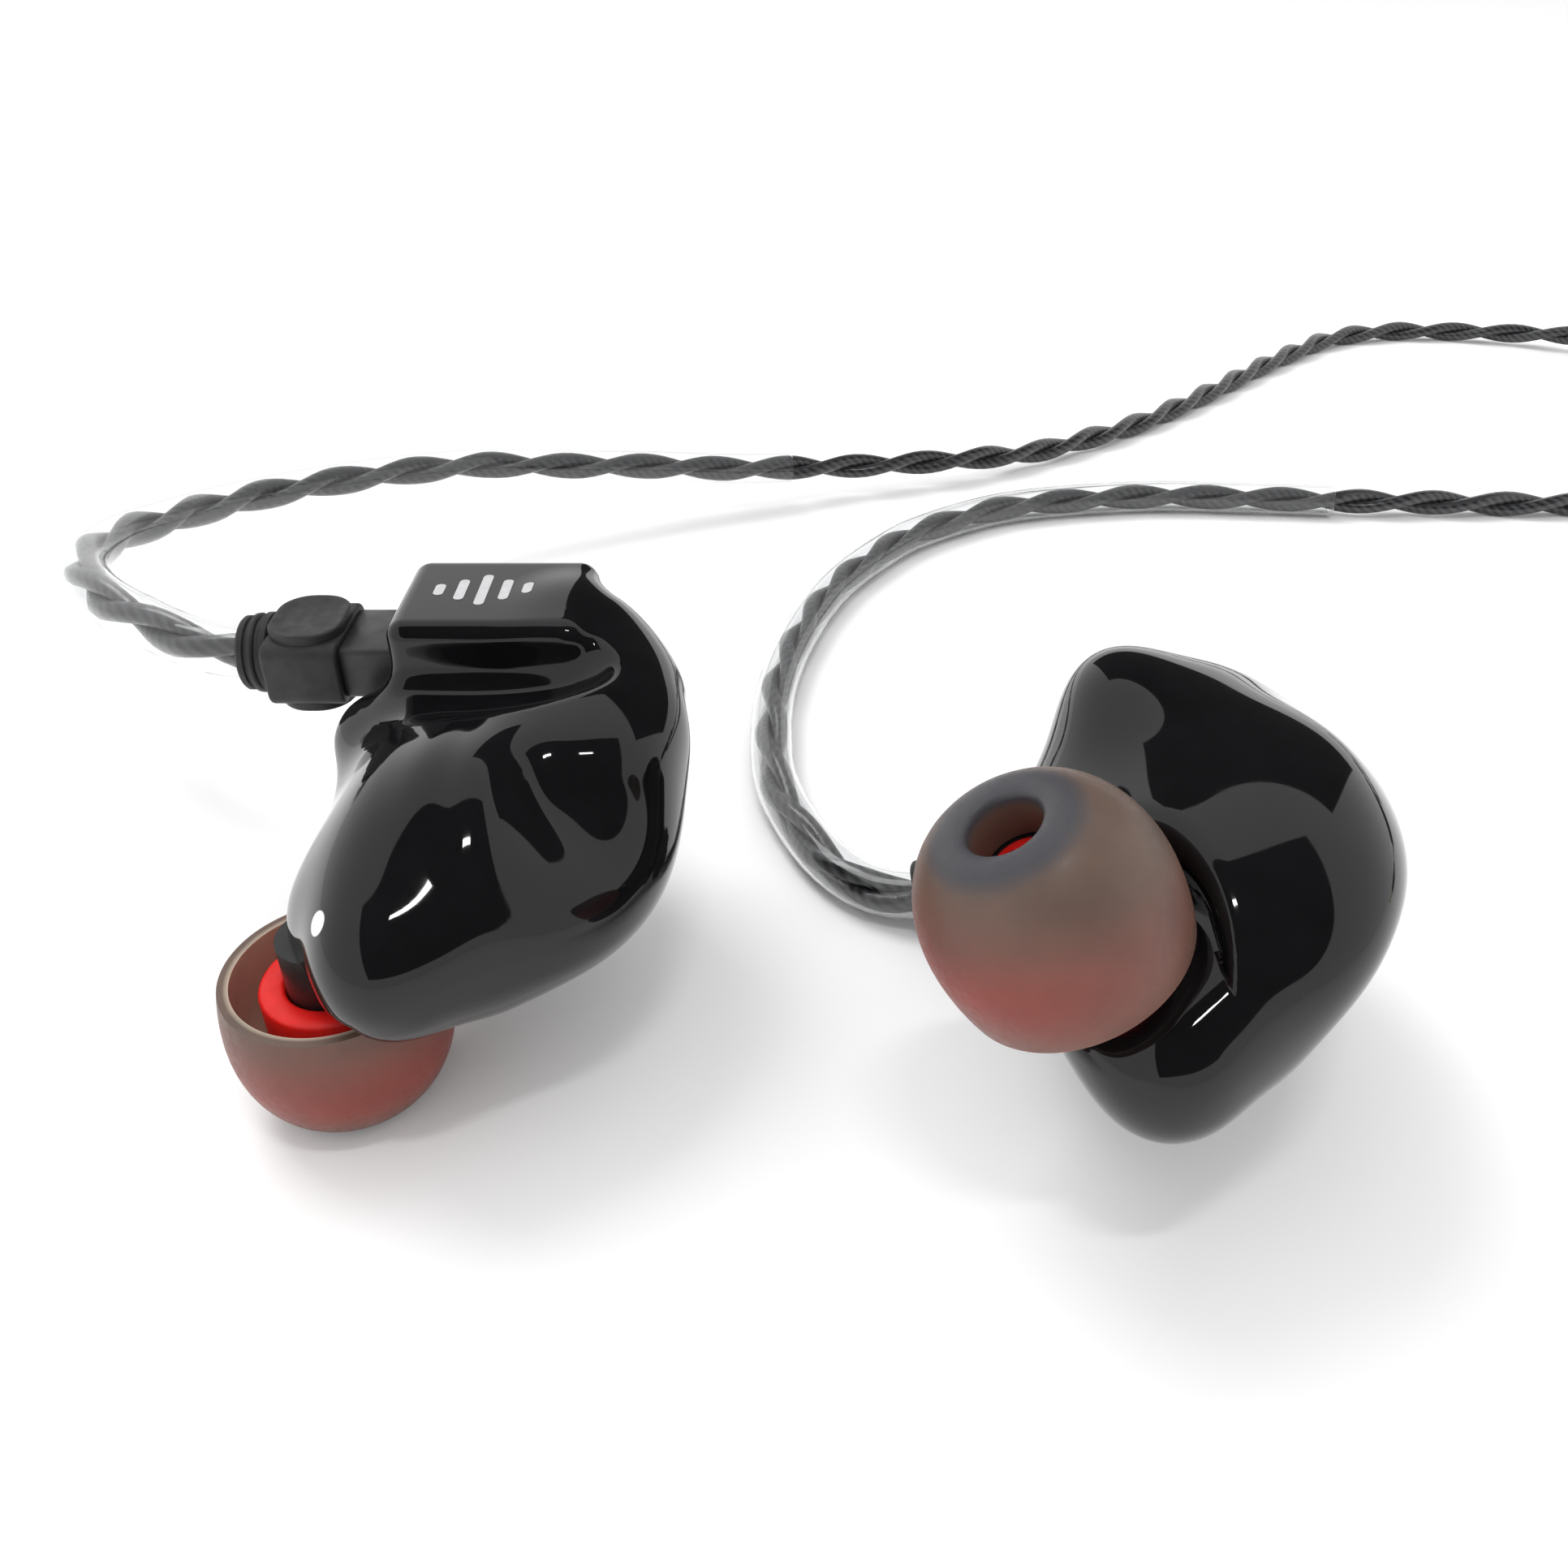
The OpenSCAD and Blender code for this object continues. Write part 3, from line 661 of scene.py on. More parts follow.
BOARD_MASK = Circuit("board_mask")
INNER_FINISHES: dict[str, Finish] = {
    "nozzle": NOZZLE_PLASTIC, "wax_filter": CORE_RUBBER, "low_driver": STEEL,
    "high_driver": STEEL, "crossover": BOARD_MASK, "sound_tubes": HOOK_TUBE, "dampers": BRASS,
    "socket": PLUG_PLASTIC, "contacts": GOLD, "plug_pins": GOLD}
TABLE_PAINT = Plain("pale_table", (0.96, 0.96, 0.96), rough=0.7, specular=0.2)
CARD_PAINT = Plain("dark_card", (0.004, 0.004, 0.004))


def fit(obj: Obj, body: str, slot: str, finish: Finish, *nodes: str) -> Obj:
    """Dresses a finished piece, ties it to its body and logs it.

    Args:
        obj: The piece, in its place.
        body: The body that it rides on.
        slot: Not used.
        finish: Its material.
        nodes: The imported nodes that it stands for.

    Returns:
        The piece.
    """
    finish.paint(obj)
    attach(obj, body)
    if nodes:
        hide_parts(*nodes)
    log.info("%s: %d faces, rides on %s", obj.name, len(obj.data.polygons), body)
    return obj


# ---------------------------------------------------------------- placement
class Side(Enum):
    """The monitor's side of the head."""

    LEFT = "left"
    RIGHT = "right"


@dataclass
class Placement:
    """Where each monitor lies: the front of its ear tip and its turn."""

    side: Side
    left_at: Point = (-22.3, -4.8, 0.0)
    right_at: Point = (7.3, -10.3, 18.8)
    right_turn: Point = (3.9, -27.9, -3.8)
    right_nozzle_shift: Point = (2.4, -0.2, -1.5)
    right_spout_shift: Point = (2.4, -0.2, -1.0)

    @property
    def matrix(self) -> Matrix:
        """Monitor's frame, in millimetres, to the model's, in metres.

        Returns:
            The matrix; the right one mirrors.
        """
        if self.side is Side.LEFT:
            return TO_METRES @ Matrix.Translation(self.left_at)
        x, y, z = (math.radians(a) for a in self.right_turn)
        turn = (Matrix.Rotation(z, 4, "Z") @ Matrix.Rotation(y, 4, "Y")
                @ Matrix.Rotation(x, 4, "X"))
        return (TO_METRES @ Matrix.Translation(self.right_at) @ turn
                @ Matrix.Diagonal((1, 1, -1, 1)))

    @property
    def nozzle_at(self) -> Vector:
        """Front centre of the ear tip in the monitor's frame."""
        return Vector((0, 0, 0)) if self.side is Side.LEFT else Vector(self.right_nozzle_shift)

    @property
    def spout_shift(self) -> Vector:
        """Shift of the lobe behind the ear tip."""
        return Vector((0, 0, 0)) if self.side is Side.LEFT else Vector(self.right_spout_shift)

    def point(self, p: Point) -> Point:
        """A point of the monitor's frame, in the model's frame in millimetres."""
        return tuple(self.matrix @ Vector(p) / MM)


# ---------------------------------------------------------------- shell
def unit(rows: Array) -> Array:
    """Each row scaled to a length of one."""
    return rows / np.linalg.norm(rows, axis=1, keepdims=True)


@dataclass
class ShellSurface:
    """Lobed hand-formed surface with its connector block, as a distance field."""

    place: Placement
    lobes: dict[str, tuple[Point, Point]] = field(default_factory=lambda: {
        "bowl": ((10.1, 5.1, 11.2), (5.8, 7.3, 4.2)),
        "heel": ((10.5, 17.0, 14.4), (3.5, 3.7, 5.3)),
        "plate": ((6.8, 9.0, 10.2), (7.4, 5.6, 3.2)),
        "toe": ((4.2, -3.9, 11.3), (1.9, 2.1, 2.4)),
        "nose": ((6.7, 2.8, 11.9), (1.8, 3.7, 4.8)),
        "cheek": ((4.6, 1.3, 11.8), (1.7, 2.8, 2.1)),
        "brow": ((5.4, 12.5, 14.2), (6.2, 1.5, 1.8)),
        "horn": ((7.1, 15.1, 9.7), (3.2, 4.9, 5.5)),
        "flank": ((13.3, 10.6, 15.9), (2.7, 5.3, 2.0)),
        "lip": ((4.3, 5.0, 11.9), (1.6, 4.2, 3.1)),
        "spout": ((1.2, 1.5, 10.0), (2.2, 2.3, 1.9)),
    })
    lobe_blend: float = 2.0
    hollow: tuple[Point, Point] = ((6.2, 10.6, 18.9), (7.0, 2.6, 2.1))
    hollow_round: float = 1.2
    dents: tuple[tuple[Point, Point, float], ...] = (
        ((6.2, -1.6, 16.8), (2.0, 3.6, 3.4), 0.3),
        ((10.8, 3.0, 17.3), (1.5, 2.0, 1.6), 0.3),
        ((13.0, 1.8, 15.2), (3.0, 3.0, 3.0), 0.7),
    )
    block_mid: Point = (6.6, 16.7, 16.3)
    block_size: Point = (10.4, 8.6, 8.0)
    block_round: float = 1.0
    foot_round: float = 1.2
    seat_radius: float = 5.9
    seat_z: float = 9.1
    seat_round: float = 1.5
    mouth: Point = (1.4, 17.6, 16.0)
    recess_half: Point = (1.5, 2.72, 1.62)
    recess_round: float = 0.1
    low: Point = (-2.5, -7.5, 3.0)
    high: Point = (18.5, 22.5, 21.5)
    step: float = 0.25
    slope_step: float = 0.01
    least_slope: float = 0.05
    parts: int = 12
    first_rounds: int = 6
    later_rounds: int = 2

    def distance(self, p: Array) -> Array:
        """Signed distance to the surface, negative inside.

        Args:
            p: Points in the monitor's frame, one per row.

        Returns:
            One distance for each point.
        """
        total = np.zeros(len(p))
        for name, (centre, half) in self.lobes.items():
            shift = self.place.spout_shift if name == "spout" else Vector((0, 0, 0))
            total += np.exp(-self._lobe(p - np.array(shift), centre, half) / self.lobe_blend)
        lobed = -self.lobe_blend * np.log(total + 1e-300)
        lobed = self._carved(lobed, self._lobe(p, *self.hollow), self.hollow_round)
        for centre, reach, depth in self.dents:
            away = (((p - np.array(centre)) / np.array(reach)) ** 2).sum(1)
            lobed += depth * np.exp(-away)
        block = self._box(p, self.block_mid, [s / 2 for s in self.block_size], self.block_round)
        body = self._smooth_min(lobed, block, self.foot_round)
        q = p - np.array(self.place.nozzle_at)
        around = np.hypot(q[:, 0], q[:, 1]) - self.seat_radius
        body = self._carved(body, np.maximum(around, q[:, 2] - self.seat_z), self.seat_round)
        return np.maximum(body, -self._box(p, self.mouth, self.recess_half, self.recess_round))

    @staticmethod
    def _lobe(p: Array, centre: Point, half: Point) -> Array:
        """Distance to one ellipsoid, close enough near its surface.

        Args:
            p: One point per row.
            centre: The lobe's middle.
            half: Half its size along each axis.

        Returns:
            One distance for each point.
        """
        a = (p - np.array(centre)) / np.array(half)
        k = np.sqrt((a ** 2).sum(1))
        return k * (k - 1) / (np.sqrt(((a / np.array(half)) ** 2).sum(1)) + 1e-9)

    @staticmethod
    def _box(p: Array, centre: Point, half: Sequence[float], radius: float) -> Array:
        """Distance to a box with rounded edges."""
        q = np.abs(p - np.array(centre)) - np.array(half) + radius
        return np.sqrt((np.maximum(q, 0) ** 2).sum(1)) + np.minimum(q.max(1), 0) - radius

    @staticmethod
    def _smooth_min(a: Array, b: Array, k: float) -> Array:
        """Smaller of two distances, rounded where they meet."""
        h = np.maximum(k - np.abs(a - b), 0) / k
        return np.minimum(a, b) - h * h * k / 4

    def _carved(self, body: Array, tool: Array, k: float) -> Array:
        """Distance to the body with the tool's shape taken out, rounded at its rim."""
        return -self._smooth_min(-body, tool, k)

    def gradient(self, p: Array) -> Array:
        """Outward direction of the field at each point.

        Args:
            p: One point per row.

        Returns:
            One direction per row.
        """
        steps = self.slope_step * np.eye(3)
        return np.stack([self.distance(p + step) - self.distance(p - step) for step in steps],
                        1) / (2 * self.slope_step)

    def project(self, p: Array, rounds: int) -> Array:
        """Moves points along the field onto the surface.

        Args:
            p: One point per row.
            rounds: How often to move them.

        Returns:
            The moved points.
        """
        for _ in range(rounds):
            slope = self.gradient(p)
            size = np.maximum((slope ** 2).sum(1), self.least_slope)
            move = slope * (self.distance(p) / size)[:, None]
            length = np.sqrt((move ** 2).sum(1)) + 1e-12
            p = p - move * np.minimum(1, self.step / length)[:, None]
        return p

    def build(self, name: str) -> Obj:
        """Net of quads over the surface, with the field's own normals.

        Args:
            name: The piece's name.

        Returns:
            The net, in the monitor's frame.
        """
        axes = [np.arange(a, b + self.step, self.step) for a, b in zip(self.low, self.high)]
        shape = tuple(len(a) for a in axes)
        grid = np.stack(np.meshgrid(*axes, indexing="ij"), -1).reshape(-1, 3)
        inside = np.concatenate([self.distance(part) < 0 for part in
                                 np.array_split(grid, self.parts)]).reshape(shape)
        cells = tuple(n - 1 for n in shape)
        counts = sum(inside[i:i + cells[0], j:j + cells[1], k:k + cells[2]].astype(int)
                     for i in (0, 1) for j in (0, 1) for k in (0, 1))
        mixed = (counts > 0) & (counts < 8)
        number = np.full(cells, -1)
        number[mixed] = np.arange(mixed.sum())
        at = np.argwhere(mixed)
        points = np.stack([axes[d][at[:, d]] + self.step / 2 for d in range(3)], 1)
        faces = np.concatenate([self._quads(inside, number, d) for d in range(3)])
        points = self.project(points, self.first_rounds)
        for _ in range(self.later_rounds):
            points = self.project(self._evened(points, faces), self.later_rounds)
        obj = mesh_object(name, points, faces)
        obj.data.shade_smooth()
        self.normals = unit(self.gradient(points))
        return obj

    def drape(self, obj: Obj, level: float) -> None:
        """Lifts a flat print so that it follows the surface.

        Args:
            obj: The print, in the monitor's frame.
            level: Height of the flat it was made on.
        """
        under = np.array([vertex.co for vertex in obj.data.vertices])
        under[:, 2] = level
        for _ in range(3):
            under[:, 2] -= self.distance(under)
        for vertex, height in zip(obj.data.vertices, under[:, 2]):
            vertex.co.z += height - level

    @staticmethod
    def _evened(points: Array, faces: Array) -> Array:
        """Each point moved half way to the mean of its neighbours.

        Args:
            points: One point per row.
            faces: Four points per face.

        Returns:
            The moved points.
        """
        total = np.zeros_like(points)
        count = np.zeros(len(points))
        for a, b in ((0, 1), (1, 2), (2, 3), (3, 0)):
            for start, end in ((faces[:, a], faces[:, b]), (faces[:, b], faces[:, a])):
                np.add.at(total, start, points[end])
                np.add.at(count, start, 1)
        return 0.5 * points + 0.5 * total / count[:, None]

    @staticmethod
    def _quads(inside: Array, number: Array, axis: int) -> Array:
        """Faces around the grid edges along one axis that cross the surface.

        Args:
            inside: Which grid points lie inside.
            number: Number of each cell's point.
            axis: Direction of the edges.

        Returns:
            Four points per face, facing outwards.
        """
        change = np.diff(inside.astype(int), axis=axis)
        at = np.argwhere(change)
        sign = change[tuple(at.T)]
        u, v = [(1, 2), (2, 0), (0, 1)][axis]
        corners = []
        for du, dv in ((-1, -1), (0, -1), (0, 0), (-1, 0)):
            cell = at.copy()
            cell[:, u] += du
            cell[:, v] += dv
            corners.append(number[tuple(cell.T)])
        quads = np.stack(corners, 1)
        quads[sign > 0] = quads[sign > 0][:, ::-1]
        return quads


# ---------------------------------------------------------------- monitor
def share(value: float) -> float:
    """The value kept between nothing and one."""
    return min(1.0, max(0.0, value))


@dataclass
class EarTip:
    """Silicone dome on a red core, about the nozzle's axis."""

    diameter: float = 11.2
    height: float = 8.1
    skin: float = 0.6
    hole: float = 3.3
    hub: float = 2.25
    belly: float = 5.3
    reach: float = 6.8
    core_front: float = 1.3
    web: float = 0.3
    core_diameter: float = 7.1
    core_height: float = 6.2
    core_bore: float = 4.5
    core_rim: float = 0.22
    sleeve: float = 4.4
    sleeve_end: float = 2.3
    sides: int = 96
    stem_tone: Point = (0.055, 0.055, 0.064)
    side_tone: Point = (0.155, 0.105, 0.083)
    # painted light: pale inner wall tone standing in for light that passes through the skin
    painted_lit_inside_tone: Point = (0.62, 0.51, 0.41)
    # painted light and shade: red glow of the core through the skin, strongest at the core's
    # height and on the dome's lower side
    painted_glow_tone: Point = (0.29, 0.040, 0.027)
    painted_glow_height: float = 4.6
    painted_glow_spread: float = 3.2
    painted_glow_level: float = 0.70
    painted_glow_fall: float = 1.1
    stem_radius: float = 3.75
    stem_fade: float = 0.6
    stem_height: float = 1.2
    bore_margin: float = 0.03
    bore_start: float = 0.5
    painted_bore_shade: float = 0.75
    painted_lit_inside_margin: float = 0.1
    clearness: float = 0.25

    def _curve(self, skin: float, front: float, turns: Sequence[float]) -> Profile:
        """Points of the dome's side, skin below its outer face.

        Args:
            skin: Depth below the outer face.
            front: Where it starts.
            turns: Angles from the belly, in degrees.

        Returns:
            Radius and height of each point.
        """
        rise = self.diameter / 2 - skin - self.hub
        return [(self.hub + rise * math.cos(math.radians(a)),
                 self.belly + ((self.belly - front) if a < 0 else self.reach)
                 * math.sin(math.radians(a))) for a in turns]

    def dome(self, name: str) -> Obj:
        """Hollow dome with a rounded lip at the sound hole and at the skirt.

        Args:
            name: The piece's name.

        Returns:
            The dome, about its own axis.
        """
        rim = math.degrees(math.asin((self.height - self.belly) / self.reach))
        hole = self.hole / 2
        profile = [(hole, 0.75), (hole, 0.35), (hole + 0.06, 0.14), (hole + 0.2, 0.03)]
        profile += self._curve(0, 0, np.arange(-90, 0, 6))
        profile += self._curve(0, 0, np.linspace(0, rim - 1.2, 8))
        front, core, sleeve = self.core_front, self.core_diameter / 2, self.sleeve / 2
        outer = self._curve(0, 0, [rim - 0.3])[0]
        inner = self._curve(self.skin, front, [rim - 0.3])[0]
        profile += [outer, ((outer[0] + inner[0]) / 2, self.height), inner]
        profile += self._curve(self.skin, front, np.linspace(rim - 1.2, 0, 8))
        profile += self._curve(self.skin, front, np.arange(-6, -56, -6))
        profile += [(core, front + self.web), (core, front), (sleeve, front),
                    (sleeve, self.sleeve_end), (hole, self.sleeve_end), profile[0]]
        obj = lathe(name, profile, self.sides, ring=True)
        smooth(obj, 40)
        return obj

    def tone(self, obj: Obj, matrix: Matrix) -> None:
        """Writes the dome's tones with painted light and shade, and alpha for how much light
        passes.

        Args:
            obj: The dome, in its place.
            matrix: The place that it was given, from its own axis.
        """
        stem, side, inside, glow = (np.array(c) for c in (
            self.stem_tone, self.side_tone, self.painted_lit_inside_tone, self.painted_glow_tone))
        back = matrix.inverted()
        turn = back.to_3x3()
        tones = obj.data.color_attributes.new("tone", "FLOAT_COLOR", "POINT")
        for vertex, value in zip(obj.data.vertices, tones.data):
            at = back @ vertex.co
            radius = math.hypot(at.x, at.y)
            out = (turn @ vertex.normal).dot(Vector((at.x, at.y, 0)))
            # painted light and shade: red glow about the core's height, stronger where the dome
            # faces down
            near = math.exp(-((at.z - self.painted_glow_height) / self.painted_glow_spread) ** 2)
            down = share(self.painted_glow_level - self.painted_glow_fall * vertex.normal.z)
            mixed = side + (glow - side) * near * down
            # painted light: the inner wall gets a pale lit tone
            if out < 0 and at.z > self.core_front + self.painted_lit_inside_margin:
                mixed = inside
            ring = share((self.stem_radius - radius) / self.stem_fade) * (at.z < self.stem_height)
            mixed = mixed + (stem - mixed) * ring
            # painted shade: the bore wall is darkened
            if radius < self.hole / 2 + self.bore_margin and at.z > self.bore_start:
                mixed = side * self.painted_bore_shade
            value.color = (*mixed, self.clearness * (1 - ring))

    def core(self, name: str) -> Obj:
        """Red core with softened rims.

        Args:
            name: The piece's name.

        Returns:
            The core, about its own axis.
        """
        outer, bore = self.core_diameter / 2, self.core_bore / 2
        front, back = self.core_front, self.core_front + self.core_height
        rim = self.core_rim
        profile = [(bore, front + rim), (bore + rim, front), (outer - 0.05, front),
                   (outer, front + 0.05), (outer, back - rim), (outer - 0.07, back - 0.07),
                   (outer - rim, back), (bore + rim, back), (bore + 0.07, back - 0.07),
                   (bore, back - rim)]
        obj = lathe(name, [*profile, profile[0]], self.sides, ring=True)
        smooth(obj, 50)
        return obj


@dataclass
class TwoPinPlug:
    """Plug stick, overmoulded head with finger pads, and ribbed collar.

    The frame is the monitor's: the plug runs along -X from its mouth.
    """

    mouth: Point = (1.4, 17.6, 16.0)
    width: float = 5.2
    thickness: float = 3.0
    stand_out: float = 3.4
    seated: float = 1.45
    head_length: float = 4.2
    head_lip: float = 0.5
    head_rise: float = 0.35
    pad_height: float = 0.5
    pad_round: float = 1.8
    pad_sink: float = 0.3
    pad_gap: float = 0.05
    pad_steps: tuple[Pair, ...] = ((0.28, 0), (0.3, -0.09))
    collar_length: float = 1.8
    collar_diameter: float = 4.2
    hook_diameter: float = 3.04
    bore_depth: float = 1.2

    def _box(self, name: str, start: float, end: float, width: float,
             thickness: float) -> Obj:
        """Block between two distances out of the mouth.

        Args:
            name: The piece's name.
            start: Nearer distance.
            end: Further distance.
            width: Size along Y.
            thickness: Size along Z.

        Returns:
            The block.
        """
        x, y, z = self.mouth
        return block_piece(name, (x - end, y - width / 2, z - thickness / 2),
                           (x - start, y + width / 2, z + thickness / 2))

    def stick(self, name: str) -> Obj:
        """Flat plug body that stands in the socket.

        Args:
            name: The piece's name.

        Returns:
            The piece.
        """
        obj = self._box(name, -self.seated, self.stand_out, self.width, self.thickness)
        round_edges_along(obj, 0, 0.34, 5)
        soften(obj, 0.06, 2)
        smooth(obj)
        return obj

    def head(self, name: str) -> Obj:
        """Overmoulded head, bored for the hook, with a pad on both faces.

        Args:
            name: The piece's name.

        Returns:
            The piece.
        """
        start, end = self.stand_out, self.stand_out + self.head_length
        thickness = self.thickness + 2 * self.head_rise
        head = self._box(name, start, end, self.width + 2 * self.head_lip, thickness)
        round_edges_along(head, 0, 0.8, 6)
        soften(head, 0.2, 3)
        x, y, z = self.mouth
        pads = []
        for up in (-1, 1):
            face = z + up * thickness / 2
            low, high = sorted((face - up * self.pad_sink, face + up * self.pad_height))
            pad = block_piece(name + "_pad", (x - end + self.pad_gap, y - self.width / 2, low),
                              (x - start - self.pad_gap, y + self.width / 2, high))
            round_edges_along(pad, 2, self.pad_round, 8)
            self._dome(pad, up)
            pads.append(pad)
        first, last = end - self.bore_depth, end + 1
        bore_along_x(head, (x - (first + last) / 2, y, z), self.hook_diameter / 2,
                     last - first, 48)
        obj = join([head, *pads], name)
        smooth(obj)
        return obj

    def _dome(self, pad: Obj, up: int) -> None:
        """Insets the pad's outer face twice and sinks its middle.

        Args:
            pad: The pad.
            up: 1 or -1, where it faces along Z.
        """
        edit_where(pad, "FACE", lambda face: face.normal.z * up > 0.9)
        for width, depth in self.pad_steps:
            bpy.ops.mesh.inset(thickness=width, depth=depth)
        bpy.ops.object.mode_set(mode="OBJECT")
        soften(pad, 0.13, 3, 25)

    def collar(self, name: str) -> Obj:
        """Round collar with two shallow ribs, bored for the hook.

        Args:
            name: The piece's name.

        Returns:
            The piece.
        """
        wide, narrow = self.collar_diameter / 2 + 0.2, self.collar_diameter / 2
        bore, length = self.hook_diameter / 2, self.collar_length
        profile = [(wide, 0.08), (wide, 0.42), (wide - 0.12, 0.52),
                   (wide - 0.22, 0.56), (wide - 0.22, 0.74), (wide - 0.1, 0.8), (wide - 0.05, 0.9),
                   (wide - 0.08, 1.1), (narrow - 0.12, 1.2), (narrow - 0.12, 1.34),
                   (narrow, 1.42), (narrow, length - 0.12), (narrow - 0.1, length),
                   (bore, length), (bore, 0), (wide - 0.1, 0), (wide, 0.08)]
        obj = lathe(name, profile, 64, ring=True)
        x, y, z = self.mouth
        there = Matrix.Translation((x - self.stand_out - self.head_length, y, z))
        settle(obj, there @ Matrix.Rotation(-math.pi / 2, 4, "Y"))
        smooth(obj, 30)
        return obj


@dataclass
class BlockPrint:
    """Small generic level mark printed on the connector block."""

    top: float = 20.3
    centre: Pair = (6.0, 16.8)
    bars: tuple[float, ...] = (1.3, 2.4, 3.6, 2.4, 1.3)
    pitch: float = 1.2
    width: float = 0.55
    ink: float = 0.03

    def build(self, name: str) -> Obj:
        """Five round-ended bars side by side.

        Args:
            name: The piece's name.

        Returns:
            The print, in the monitor's frame.
        """
        bars = []
        middle, y = self.centre
        for i, length in enumerate(self.bars):
            x = middle + (i - (len(self.bars) - 1) / 2) * self.pitch
            bar = block_piece(f"{name}_{i}", (x - self.width / 2, y - length / 2, self.top - 0.01),
                              (x + self.width / 2, y + length / 2, self.top + self.ink))
            round_edges_along(bar, 2, self.width / 2 - 0.01, 5)
            bars.append(bar)
        return join(bars, name)


@dataclass
class Monitor:
    """One monitor: shell, inner parts, ear tip and plug."""

    side: Side
    mark: Point = (1.6, -3.7, 14.1)

    def build(self, nodes: Nodes) -> None:
        """Builds and dresses every piece of this side.

        Args:
            nodes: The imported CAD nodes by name.
        """
        key = self.side.value
        place = Placement(self.side)
        body, tip_body = f"{key}_monitor", f"{key}_tip"
        surface = ShellSurface(place)
        shell = surface.build(f"{key}_shell_body")
        settle(shell, place.matrix)
        self._custom_normals(shell, surface.normals, place.matrix)
        finish = Lacquer(f"{key}_lacquer", mark=tuple(place.matrix @ Vector(self.mark)))
        fit(shell, body, "shell_lacquer", finish, f"{key}_shell", f"{key}_faceplate")

        printed = BlockPrint().build(f"{key}_block_print")
        surface.drape(printed, BlockPrint.top)
        settle(printed, place.matrix)
        fit(printed, body, "shell_lacquer", PRINT_INK)

        tip = EarTip()
        on_nozzle = place.matrix @ Matrix.Translation(place.nozzle_at)
        dome = tip.dome(f"{key}_ear_dome")
        settle(dome, on_nozzle)
        tip.tone(dome, on_nozzle)
        fit(dome, tip_body, "tip_silicone", TIP_SILICONE, f"{key}_tip_dome")
        core = tip.core(f"{key}_ear_core")
        settle(core, on_nozzle)
        fit(core, tip_body, "tip_core_red", CORE_RUBBER, f"{key}_tip_core")

        plug = TwoPinPlug()
        for make, part, node, finish in (
                (plug.stick, "stick", "plug_body", PLUG_PLASTIC),
                (plug.head, "grip", "plug_head", SOFT_OVERMOULD),
                (plug.collar, "collar", "hook_collar", SOFT_OVERMOULD)):
            made = make(f"{key}_plug_{part}")
            settle(made, place.matrix)
            fit(made, "cable", "plug_plastic", finish, f"{key}_{node}")
        for node, inner in INNER_FINISHES.items():
            inner.paint(nodes[f"{key}_{node}"])

    @staticmethod
    def _custom_normals(obj: Obj, normals: Array, matrix: Matrix) -> None:
        """Gives the net the field's own normals, turned with the piece."""
        turn = np.array(matrix.to_3x3().inverted().transposed())
        obj.data.normals_split_custom_set_from_vertices(unit(normals @ turn.T).tolist())


# ---------------------------------------------------------------- cable
def run_of(curve: Array) -> Array:
    """Distance along the curve to each of its points."""
    return np.concatenate([[0], np.cumsum(np.linalg.norm(np.diff(curve, axis=0), axis=1))])


def smooth_route(points: Sequence[Point], step: float = 0.9) -> Array:
    """Smooth curve through the points, at even steps.

    Args:
        points: The route, in millimetres.
        step: Distance between the curve's points.

    Returns:
        Points of the curve, one per row.
    """
    p = np.array(points, float)
    p = np.vstack([2 * p[0] - p[1], p, 2 * p[-1] - p[-2]])
    out = []
    for a, b, c, d in zip(p, p[1:], p[2:], p[3:]):
        for t in np.linspace(0, 1, ROUTE_STEPS, endpoint=False):
            out.append(0.5 * (2 * b + (c - a) * t + (2 * a - 5 * b + 4 * c - d) * t * t
                              + (3 * b - 3 * c + d - a) * t ** 3))
    out.append(p[-2])
    curve = np.array(out)
    run = run_of(curve)
    at = np.linspace(0, run[-1], max(2, round(run[-1] / step) + 1))
    return np.stack([np.interp(at, run, curve[:, i]) for i in range(3)], 1)


def frames_along(curve: Array) -> tuple[Array, Array]:
    """Two directions across the curve that don't twist along it.

    Args:
        curve: One point per row.

    Returns:
        Sideways and upward unit rows.
    """
    tangent = unit(np.gradient(curve, axis=0))
    side = np.cross(tangent[0], (0, 0, 1.0))
    side /= np.linalg.norm(side)
    sides = [side]
    for t in tangent[1:]:
        side = sides[-1] - t * (sides[-1] @ t)
        sides.append(side / np.linalg.norm(side))
    sides = np.array(sides)
    return sides, np.cross(sides, tangent)


